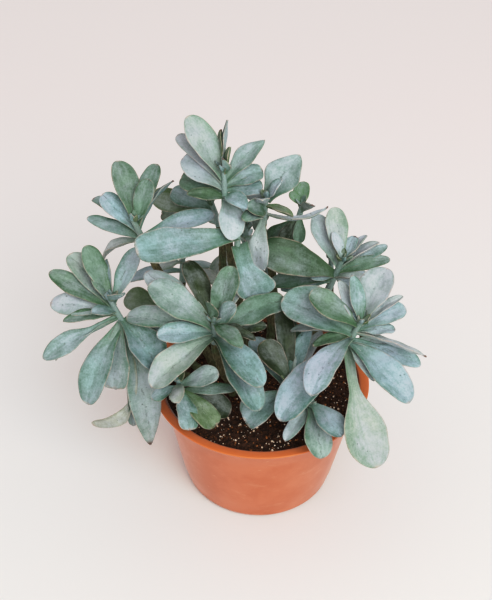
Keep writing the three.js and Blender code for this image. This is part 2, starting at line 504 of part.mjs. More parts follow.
/** One blade: four corners a station, the margins left and right, and the middle of each face. */
function leafSolid(root, { azimuth, rise, length, width, form: formName, roll, arch, sway }) {
  const form = FORMS[formName];
  const { along, across, up } = bladeAxes(azimuth, rise, roll);
  const rings = LEAF_STATIONS.map((place) => {
    const half = (width / 2) * bladeOutline(form, place);
    const bow = 4 * place * (1 - place);
    const tipTurn = THREE.MathUtils.clamp((place - CURL_START) / (1 - CURL_START), 0, 1) ** 2;
    const centre = root.clone().addScaledVector(along, length * place)
      .addScaledVector(up, length * (arch * bow + form.curl * tipTurn))
      .addScaledVector(across, length * sway * bow);
    const full = THREE.MathUtils.lerp(NARROW_THICKNESS, 1, Math.min(1, (2 * half) / FULL_WIDTH));
    const thick = LEAF_THICKNESS * full * (place === 1 ? TIP_THICKNESS : 1);
    const margin = (side) => {
      const ripple = form.wave * Math.sin(WAVES.along * place + (side > 0 ? WAVES.shift : 0));
      return centre.clone().addScaledVector(across, side * half)
        .addScaledVector(up, half * (form.cup + ripple));
    };
    return [
      margin(1), centre.clone().addScaledVector(up, thick / 2),
      margin(-1), centre.clone().addScaledVector(up, -thick / 2),
    ];
  });
  return loft(rings);
}

// ---------------------------------------------------------------- the front view
const VIEW_FORWARD = direction(90, -VIEW_ELEVATION);
const VIEW_RIGHT = new THREE.Vector3(1, 0, 0)
  .applyAxisAngle(VIEW_FORWARD, -THREE.MathUtils.degToRad(VIEW_TILT));
const VIEW_UP = VIEW_RIGHT.clone().cross(VIEW_FORWARD);
const VIEWER = VIEW_TARGET.clone().addScaledVector(VIEW_FORWARD, -VIEW_DISTANCE);
const VIEW_DEPTH = VIEW_HEIGHT / 2 / Math.tan(THREE.MathUtils.degToRad(VIEW_ANGLE / 2)); // pixels

/** The unit vector from the viewer through a place in the view. */
function sightThrough([right, down]) {
  return VIEW_FORWARD.clone().multiplyScalar(VIEW_DEPTH).addScaledVector(VIEW_RIGHT, right - VIEW_WIDTH / 2)
    .addScaledVector(VIEW_UP, VIEW_HEIGHT / 2 - down).normalize();
}

/** The place in the view where a point shows, right and up from the view's middle. */
function shownAt(point) {
  const from = point.clone().sub(VIEWER);
  return new THREE.Vector2(from.dot(VIEW_RIGHT), from.dot(VIEW_UP))
    .multiplyScalar(VIEW_DEPTH / from.dot(VIEW_FORWARD));
}

/** From a leaf's root to its tip: along its rise, as far as the sight through the tip. */
function reachAtRise(root, sight, rise) {
  const viewer = VIEWER.clone().sub(root);
  const sineSquared = Math.sin(THREE.MathUtils.degToRad(rise)) ** 2;
  const a = sight.z ** 2 - sineSquared;
  const b = 2 * (viewer.z * sight.z - sineSquared * viewer.dot(sight));
  const c = viewer.z ** 2 - sineSquared * viewer.lengthSq();
  const spread = Math.sqrt(Math.max(0, b * b - 4 * a * c));
  const offUsual = (reach) => Math.abs(reach.length() - USUAL_LENGTH);
  return [-spread, spread].map((part) => viewer.clone().addScaledVector(sight, (part - b) / (2 * a)))
    .filter((reach) => rise === 0 || Math.sign(reach.z) === Math.sign(rise))
    .reduce((best, reach) => (offUsual(reach) < offUsual(best) ? reach : best));
}

/** From a leaf's root to its tip, for a leaf of this length that points towards the viewer. */
function reachAtLength(root, sight, length) {
  const viewer = VIEWER.clone().sub(root);
  const nearest = viewer.dot(sight);
  const spread = Math.sqrt(Math.max(0, nearest ** 2 - viewer.lengthSq() + length ** 2));
  return viewer.addScaledVector(sight, -nearest - spread).setLength(length);
}

/** The roll with which a leaf shows as wide as it should, or nearly so with a smaller roll. */
function rollOf(root, reach, { azimuth, rise, width, shows }) {
  const lengthwise = shownAt(root.clone().add(reach)).sub(shownAt(root)).normalize();
  const middle = root.clone().addScaledVector(reach, BROAD_PLACE);
  const cost = (roll) => {
    const half = bladeAxes(azimuth, rise, roll).across.multiplyScalar(width / 2);
    const span = shownAt(middle.clone().add(half)).sub(shownAt(middle.clone().sub(half)));
    return Math.abs(Math.abs(span.cross(lengthwise)) - shows) + ROLLS.cost * Math.abs(roll);
  };
  let best = -ROLLS.most;
  for (let roll = best; roll <= ROLLS.most; roll += ROLLS.step) if (cost(roll) < cost(best)) best = roll;
  return best;
}

/** A leaf's aim, size and roll, from how it shows in the front view. */
function leafInView(root, { tip, rise, length, shows, form, arch, sway = 0 }) {
  const sight = sightThrough(tip);
  const reach = length ? reachAtLength(root, sight, length) : reachAtRise(root, sight, rise);
  const azimuth = THREE.MathUtils.radToDeg(Math.atan2(reach.y, reach.x));
  const steepness = rise ?? Math.round(THREE.MathUtils.radToDeg(Math.asin(reach.z / reach.length())));
  const least = shows <= EDGE_ON.shows ? EDGE_ON.width : LEAST_WIDTH;
  const width = Math.max(least, Math.round((WIDTH_ALLOWANCE * shows) / PIXELS_PER_MM));
  const roll = rollOf(root, reach, { azimuth, rise: steepness, width, shows });
  const aim = { azimuth: Math.round(azimuth), rise: steepness, length: Math.round(reach.length()) };
  return { ...aim, width, form, roll, arch, sway };
}

// ---------------------------------------------------------------- heads
/** The crown's axis, and the places of its lower end and of each leaf's root. */
function crownOf({ at, crown: [azimuth, rise, length] }) {
  const axis = direction(azimuth, rise);
  const middle = new THREE.Vector3(...at);
  const point = (offset) => middle.clone().addScaledVector(axis, offset);
  return { axis, point, length, foot: -length / 2 - CROWN_FOOT };
}

/** A head: the crown and its leaves, fused. */
function headGeometry(head) {
  const { axis, point, length, foot } = crownOf(head);
  let solid = loft([
    ring(point(foot), axis, STEM_TOP_RADIUS, CROWN_SIDES),
    ring(point(length / 2 + CROWN_TOP), axis, CROWN_TOP_RADIUS, CROWN_SIDES),
  ]);
  head.leaves.forEach((listed, i) => {
    const root = point(length * ((i + 0.5) / head.leaves.length - 0.5));
    const leaf = listed.tip ? leafInView(root, listed) : listed;
    root.addScaledVector(direction(leaf.azimuth, 0), ROOT_OFFSET);
    solid = solid.add(leafSolid(root, leaf));
  });
  return geometryOf(solid);
}

/** A repeatable number from 0 to 1 for a whole number. */
function chance(seed) {
  const value = Math.sin(seed * 12.9898) * 43758.5453;
  return value - Math.floor(value);
}

/** A head on the far side, whose leaves have their aims from the rule. */
function rearHead([name, x, y, z, count, start, longest], headIndex) {
  const leaves = Array.from({ length: count }, (_, i) => {
    const height = i / (count - 1);
    const draw = chance(headIndex * SEED_STEP + i + 1);
    const azimuth = start + i * GOLDEN_ANGLE;
    const rise = THREE.MathUtils.lerp(REAR_RISE.lowest, REAR_RISE.highest, height);
    const length = Math.round(longest * (1 - REAR_TAPER * height - REAR_SPREAD * draw));
    const form = REAR_FORMS[Math.floor(REAR_FORMS.length * draw)];
    const width = Math.round(REAR_WIDTH * length);
    return { azimuth, rise, length, width, form, roll: 0, arch: REAR_ARCH, sway: 0 };
  });
  return { name, at: [x, y, z], crown: REAR_CROWN, leaves };
}

// ---------------------------------------------------------------- stems
/** A stem's route as a smooth curve, from the soil or its fork to just under its head's crown. */
function stemOf([headName, ...places], heads) {
  const { axis, point, foot } = crownOf(heads.get(headName));
  const points = places.map(([x, y, z]) => new THREE.Vector3(x, y, Math.max(z, STEM_KNEE)));
  points.push(point(foot - STEM_NECK), point(foot - GAP));
  const rooted = places[0][2] === 0;
  return { axis, rooted, route: new THREE.CatmullRomCurve3(points, false, "centripetal") };
}

/** One stem as a tapered round bar, which stands straight up where it is in the soil. */
function stemSolid({ axis, rooted, route }) {
  const steps = Math.max(2, Math.round(route.getLength() / STEM_STEP));
  const footRadius = rooted ? STEM_FOOT_RADIUS : STEM_TOP_RADIUS;
  const upright = new THREE.Vector3(0, 0, 1);
  const rings = Array.from({ length: steps + 1 }, (_, i) => {
    const along = i === steps ? axis : route.getTangentAt(i / steps);
    const radius = THREE.MathUtils.lerp(footRadius, STEM_TOP_RADIUS, i / steps);
    return ring(route.getPointAt(i / steps), i === 0 && rooted ? upright : along, radius, STEM_SIDES);
  });
  if (rooted) rings.unshift(ring(route.getPoint(0).setZ(STEM_BOTTOM), upright, footRadius, STEM_SIDES));
  return loft(rings);
}

// ---------------------------------------------------------------- the whole plant
const plant = new THREE.Group();

/** Adds a named mesh to the plant. */
function addPiece(name, geometry, finish) {
  const mesh = new THREE.Mesh(geometry, finish);
  mesh.name = name;
  plant.add(mesh);
}

const heads = new Map([...HEADS, ...REAR_HEADS.map(rearHead)].map((head) => [head.name, head]));
const stemNodes = STEMS.map(([name, ...branches]) => ({
  name, branches: branches.map((branch) => stemOf(branch, heads)),
}));

addPiece("pot", potGeometry(), FINISH.pot);
addPiece("soil", soilGeometry(stemNodes.map(({ branches }) => branches[0])), FINISH.soil);
for (const { name, branches } of stemNodes) {
  const solid = branches.map(stemSolid).reduce((whole, branch) => whole.add(branch));
  addPiece(name, geometryOf(solid), FINISH.stem);
}
for (const head of heads.values()) addPiece(head.name, headGeometry(head), FINISH.leaf);

export default plant;
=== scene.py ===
"""A potted succulent with flat, blue-grey, spoon-shaped leaves, dressed over its fixed frame.

The plant has leafy heads on bark-brown stems, which stand in crumbly soil in a round plastic pot. Sizes and
places are in millimetres, in the frame's axes: +Z up, -Y to the plant's front, and the origin under the pot.
MM turns them into Blender's metres where a mesh is made.
"""

from __future__ import annotations

import logging
import math
import random
from collections.abc import Callable, Iterable
from dataclasses import dataclass
from enum import Enum
from functools import cached_property

import bpy
import numpy as np
from mathutils import Matrix, Vector

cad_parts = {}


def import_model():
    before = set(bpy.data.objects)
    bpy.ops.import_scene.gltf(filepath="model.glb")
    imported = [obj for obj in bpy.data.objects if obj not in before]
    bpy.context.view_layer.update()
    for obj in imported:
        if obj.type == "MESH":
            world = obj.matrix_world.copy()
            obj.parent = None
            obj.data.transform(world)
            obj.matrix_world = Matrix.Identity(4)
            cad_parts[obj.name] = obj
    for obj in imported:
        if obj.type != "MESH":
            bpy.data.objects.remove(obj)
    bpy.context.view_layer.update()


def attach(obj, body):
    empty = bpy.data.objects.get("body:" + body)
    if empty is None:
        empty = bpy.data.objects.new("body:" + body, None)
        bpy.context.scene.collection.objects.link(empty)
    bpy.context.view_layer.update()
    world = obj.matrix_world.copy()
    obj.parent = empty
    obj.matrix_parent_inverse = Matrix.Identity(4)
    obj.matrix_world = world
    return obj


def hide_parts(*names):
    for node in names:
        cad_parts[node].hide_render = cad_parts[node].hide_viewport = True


MM = 0.001
BODY = "root"
GOLDEN_ANGLE = 137.5
SCREEN_TOE = 0.04045
SCREEN_SLOPE = 12.92
SCREEN_LIFT = 0.055
SCREEN_POWER = 2.4
NOISE_WAVES = 7
NOISE_SPREAD = (0.7, 1.6)
HEIGHT_RANGE = (0.2, 0.8)
CHANCE_TURN = 12.9898
CHANCE_SCALE = 43758.5453

Colour = tuple[float, float, float, float]
Place = tuple[float, float, float]
Span = tuple[float, float]
Array = np.ndarray
Item = bpy.types.Object
Material = bpy.types.Material
Node = bpy.types.Node
Socket = bpy.types.NodeSocket
Tree = bpy.types.NodeTree

log = logging.getLogger("succulent")


def paint(code: str) -> Colour:
    """A linear colour from a painter's hex code.

    Args:
        code: Six hex digits, as on a screen.

    Returns:
        Red, green and blue in linear light, and a full alpha.
    """
    shown = (int(code[k:k + 2], 16) / 255 for k in (0, 2, 4))
    red, green, blue = (c / SCREEN_SLOPE if c <= SCREEN_TOE
                        else ((c + SCREEN_LIFT) / (1 + SCREEN_LIFT)) ** SCREEN_POWER for c in shown)
    return red, green, blue, 1.0


def unit(azimuth: float, rise: float) -> Array:
    """The unit vector at an azimuth and a rise, in degrees."""
    a, r = math.radians(azimuth), math.radians(rise)
    return np.array([math.cos(r) * math.cos(a), math.cos(r) * math.sin(a), math.sin(r)])


def direction(azimuth: float, rise: float) -> Vector:
    """The same unit vector, for places and objects."""
    return Vector(unit(azimuth, rise))


def blade_axes(azimuth: float, rise: float, roll: float) -> tuple[Array, Array, Array]:
    """The axes of a blade.

    Args:
        azimuth: The way it points, in degrees.
        rise: How steeply it rises, in degrees.
        roll: How far it is turned about its length, in degrees.

    Returns:
        The ways along it, across it and up from it.
    """
    along = unit(azimuth, rise)
    level = unit(azimuth + 90, 0)
    turn = math.radians(roll)
    across = level * math.cos(turn) + np.cross(along, level) * math.sin(turn)
    return along, across, np.cross(along, across)


def smooth(value: Array | float, low: float, high: float) -> Array | float:
    """Eases from 0 at low to 1 at high."""
    part = np.clip((value - low) / (high - low), 0, 1)
    return part * part * (3 - 2 * part)


# ------------------------------ leaf shapes
@dataclass(frozen=True)
class Outline:
    """A blade's outline and section.

    Attributes:
        widest: Where along the blade it is broadest, from 0 at its root to 1 at its tip.
        foot: Width at the root, against the broadest.
        tip: Power of the rounded end, 2 for round and 4 for blunt.
        stalk: How far a narrow foot runs.
        cup: How much the margins rise, against half the width.
        wave: How much the margins ripple, against half the width.
        curl: How far the tip turns over, against the length.
        scallop: How deep the end is scalloped, against the length.
    """

    widest: float
    foot: float
    tip: float
    stalk: float = 0.0
    cup: float = 0.1
    wave: float = 0.03
    curl: float = 0.0
    scallop: float = 0.0


class Form(Enum):
    """The named shapes of blade."""

    SPOON = Outline(0.62, 0.28, 2.1)
    PADDLE = Outline(0.7, 0.26, 2.2)
    OVAL = Outline(0.52, 0.3, 2.0, cup=0.15)
    CUPPED = Outline(0.6, 0.25, 2.0, cup=0.3, wave=0)
    FOLDED = Outline(0.6, 0.25, 2.0, cup=0.55, wave=0.05)
    WAVY = Outline(0.64, 0.25, 2.4, wave=0.2, scallop=0.02)
    BLUNT = Outline(0.66, 0.25, 3.6, cup=0.08, wave=0.06, scallop=0.03)
    STRAP = Outline(0.66, 0.42, 3.4, cup=0.12, wave=0.04)
    HOOKED = Outline(0.58, 0.28, 2.0, cup=0.15, wave=0.1, curl=-0.14)
    LANCE = Outline(0.5, 0.35, 1.6, cup=0.15, wave=0)
    BUD = Outline(0.5, 0.5, 1.8, cup=0.4, wave=0)
    STALKED = Outline(0.68, 0.24, 1.9, stalk=0.3)
    POINTED = Outline(0.55, 0.3, 1.35, cup=0.15, wave=0.1)
    TONGUE = Outline(0.82, 0.46, 2.6, stalk=0.4, cup=0.12, wave=0.02)
    WITHERED = Outline(0.82, 0.3, 2.0, stalk=0.5, cup=0.3, wave=0.4)


@dataclass(frozen=True)
class Wax:
    """A leaf's colours: its powdery wax, the flesh where the wax is rubbed off, and how much wax is left."""

    powder: str
    flesh: str
    cover: float


class Tone(Enum):
    """The named finishes of a leaf. The two darkest are darker copies of the others: painted shade for leaves
    inside the plant and in its dark gaps.
    """

    PALE = Wax("BAC3C7", "7E958C", 0.86)
    BLUE = Wax("A8BAC2", "5A8073", 0.78)
    LILAC = Wax("B0BBC7", "6C8A80", 0.8)
    GREY = Wax("A6B3B3", "647F72", 0.75)
    MIST = Wax("B0B9B3", "738C7A", 0.75)
    TEAL = Wax("95ADAF", "4B705D", 0.72)
    GREEN = Wax("839C8F", "44664B", 0.6)
    SAGE = Wax("9FB0AF", "5B7C6A", 0.76)
    # Painted shade: the next two tones are darker copies of the leaf finish, given to leaves that sit in the
    # plant's shade.
    DEEP = Wax("65826A", "345034", 0.45)
    SHADE = Wax("485A32", "253416", 0.4)
    OLIVE = Wax("87967F", "546B44", 0.45)
    LIME = Wax("8AA08F", "5F825C", 0.45)
    DRY = Wax("BEC2B9", "878B76", 0.7)


@dataclass(frozen=True)
class Leaf:
    """One leaf of a head: its aim in degrees, its size in millimetres, its form and its finish.

    roll turns it about its length. arch and sway are how far its middle stands off the straight line, upwards
    and sideways, as a part of its length. The tip of a dry one is brown.
    """

    azimuth: float
    rise: float
    length: float
    width: float
    form: Form
    tone: Tone
    roll: float = 0.0
    arch: float = 0.0
    sway: float = 0.0
    dry: bool = False


@dataclass(frozen=True)
class Seen:
    """A leaf by how it shows in the front view.

    Attributes:
        tip: Where its tip shows, in pixels from the view's left and upper edges.
        shows: How wide it shows, in pixels.
        form, tone, arch, sway, dry: As a leaf's.
        rise: As a leaf's, unless its length is given.
        length: As a leaf's, where it points towards the viewer.
    """

    tip: tuple[int, int]
    shows: int
    form: Form
    tone: Tone
    arch: float
    rise: float | None = None
    length: float | None = None
    sway: float = 0.0
    dry: bool = False


@dataclass(frozen=True)
class View:
    """The front view, which the leaves are laid out in and the camera shows: from the front and above.

    Lengths are in millimetres, angles in degrees, and width, height and what a leaf shows in pixels.

    Attributes:
        pixels_per_mm: Its scale at the plant's middle.
        width_allowance: How much wider a leaf is than it shows, for its cupped section.
        edge_on_shows: Most that a leaf shows when it is seen edge on.
        broad_place: Where along a leaf its width is taken.
        usual_length: The length that decides between two possible ones.
        roll_cost: Pixels of width that a degree of roll has to gain.
    """

    target: Place = (-14.7, 0.0, 206.2)
    distance: float = 907.0
    elevation: float = 39.66
    tilt: float = 1.11
    angle: float = 32.0
    width: int = 492
    height: int = 600
    pixels_per_mm: float = 1.17
    width_allowance: float = 1.08
    least_width: float = 12.0
    edge_on_shows: float = 8.0
    edge_on_width: float = 14.0
    broad_place: float = 0.65
    usual_length: float = 50.0
    most_roll: int = 90
    roll_step: int = 5
    roll_cost: float = 0.03

    @cached_property
    def forward(self) -> Array:
        """The line of sight."""
        return unit(90, -self.elevation)

    @cached_property
    def right(self) -> Array:
        """The way to the view's right, turned by its tilt."""
        turn, level = math.radians(self.tilt), np.array([1.0, 0.0, 0.0])
        return level * math.cos(turn) + np.cross(level, self.forward) * math.sin(turn)

    @cached_property
    def up(self) -> Array:
        """The way to the view's upper edge."""
        return np.cross(self.right, self.forward)

    @cached_property
    def viewer(self) -> Array:
        """Where it is seen from."""
        return np.array(self.target) - self.forward * self.distance

    @cached_property
    def depth(self) -> float:
        """Distance in pixels at which the view has its size."""
        return self.height / 2 / math.tan(math.radians(self.angle / 2))

    def shown_at(self, point: Array) -> Array:
        """Where a point shows, right and up from the view's middle, in pixels."""
        offset = point - self.viewer
        return np.array([offset @ self.right, offset @ self.up]) * self.depth / (offset @ self.forward)

    def leaf(self, base: Array, seen: Seen) -> Leaf:
        """A leaf's aim, size and roll, from how it shows.

        Args:
            base: The leaf's place on its crown's axis.
            seen: How it shows.

        Returns:
            The leaf.
        """
        across, down = seen.tip[0] - self.width / 2, self.height / 2 - seen.tip[1]
        sight = self.forward * self.depth + self.right * across + self.up * down
        sight /= np.linalg.norm(sight)
        if seen.length:
            reach = self._reach_at_length(base, sight, seen.length)
        else:
            reach = self._reach_at_rise(base, sight, seen.rise)
        long = float(np.linalg.norm(reach))
        azimuth = math.degrees(math.atan2(reach[1], reach[0]))
        rise = round(math.degrees(math.asin(reach[2] / long))) if seen.rise is None else seen.rise
        least = self.edge_on_width if seen.shows <= self.edge_on_shows else self.least_width
        width = max(least, round(self.width_allowance * seen.shows / self.pixels_per_mm))
        costs = {}
        for roll in range(-self.most_roll, self.most_roll + 1, self.roll_step):
            half = blade_axes(azimuth, rise, roll)[1] * width / 2
            costs[roll] = self._off_width(base, reach, half, seen.shows) + self.roll_cost * abs(roll)
        return Leaf(round(azimuth), rise, round(long), width, seen.form, seen.tone, min(costs, key=costs.get),
                    seen.arch, seen.sway, seen.dry)

    def _reach_at_rise(self, base: Array, sight: Array, rise: float) -> Array:
        """A leaf's reach along its rise, as far as the sight through its tip.

        Args:
            base: The leaf's root.
            sight: The way from the viewer through its tip.
            rise: How steeply it rises, in degrees.

        Returns:
            The way from its root to its tip.
        """
        viewer = self.viewer - base
        sine_squared = math.sin(math.radians(rise)) ** 2
        a = sight[2] ** 2 - sine_squared
        b = 2 * (viewer[2] * sight[2] - sine_squared * (viewer @ sight))
        c = viewer[2] ** 2 - sine_squared * (viewer @ viewer)
        spread = math.sqrt(max(0.0, b * b - 4 * a * c))
        reaches = [viewer + sight * (part - b) / (2 * a) for part in (-spread, spread)]
        fitting = [reach for reach in reaches if rise == 0 or reach[2] * rise > 0]
        return min(fitting, key=lambda reach: abs(np.linalg.norm(reach) - self.usual_length))

    def _reach_at_length(self, base: Array, sight: Array, length: float) -> Array:
        """A leaf's reach where it points towards the viewer.

        Args:
            base: The leaf's root.
            sight: The way from the viewer through its tip.
            length: Its length in millimetres.

        Returns:
            The way from its root to its tip.
        """
        viewer = self.viewer - base
        nearest = viewer @ sight
        spread = math.sqrt(max(0.0, nearest**2 - viewer @ viewer + length**2))
        reach = viewer - sight * (nearest + spread)
        return reach * length / np.linalg.norm(reach)

    def _off_width(self, base: Array, reach: Array, half: Array, shows: float) -> float:
        """How far off its width a leaf shows.

        Args:
            base: The leaf's root.
            reach: The way from its root to its tip.
            half: The way from its middle line to its margin.
            shows: The width that it has to show, in pixels.

        Returns:
            The difference in pixels.
        """
        lengthwise = self.shown_at(base + reach) - self.shown_at(base)
        middle = base + reach * self.broad_place
        span = self.shown_at(middle + half) - self.shown_at(middle - half)
        seen = abs(span[0] * lengthwise[1] - span[1] * lengthwise[0]) / np.linalg.norm(lengthwise)
        return abs(seen - shows)


VIEW = View()


@dataclass(frozen=True)
class Head:
    """A leafy head.

    Attributes:
        name: Its node in the frame.
        at: The middle of its crown.
        crown: The crown's azimuth, rise and length.
        leaves: Its leaves, from the lowest up.
        below: How far the crown's foot reaches down past its leaves.
    """

    name: str
    at: Place
    crown: Place
    leaves: list[Seen | Leaf]
    below: float = 6.0

    def point(self, offset: float) -> Vector:
        """The point of the crown's axis that far from its middle."""
        azimuth, rise, _ = self.crown
        return Vector(self.at) + direction(azimuth, rise) * offset

    @property
    def foot(self) -> float:
        """Offset of the crown's lower end."""
        return -self.crown[2] / 2 - self.below


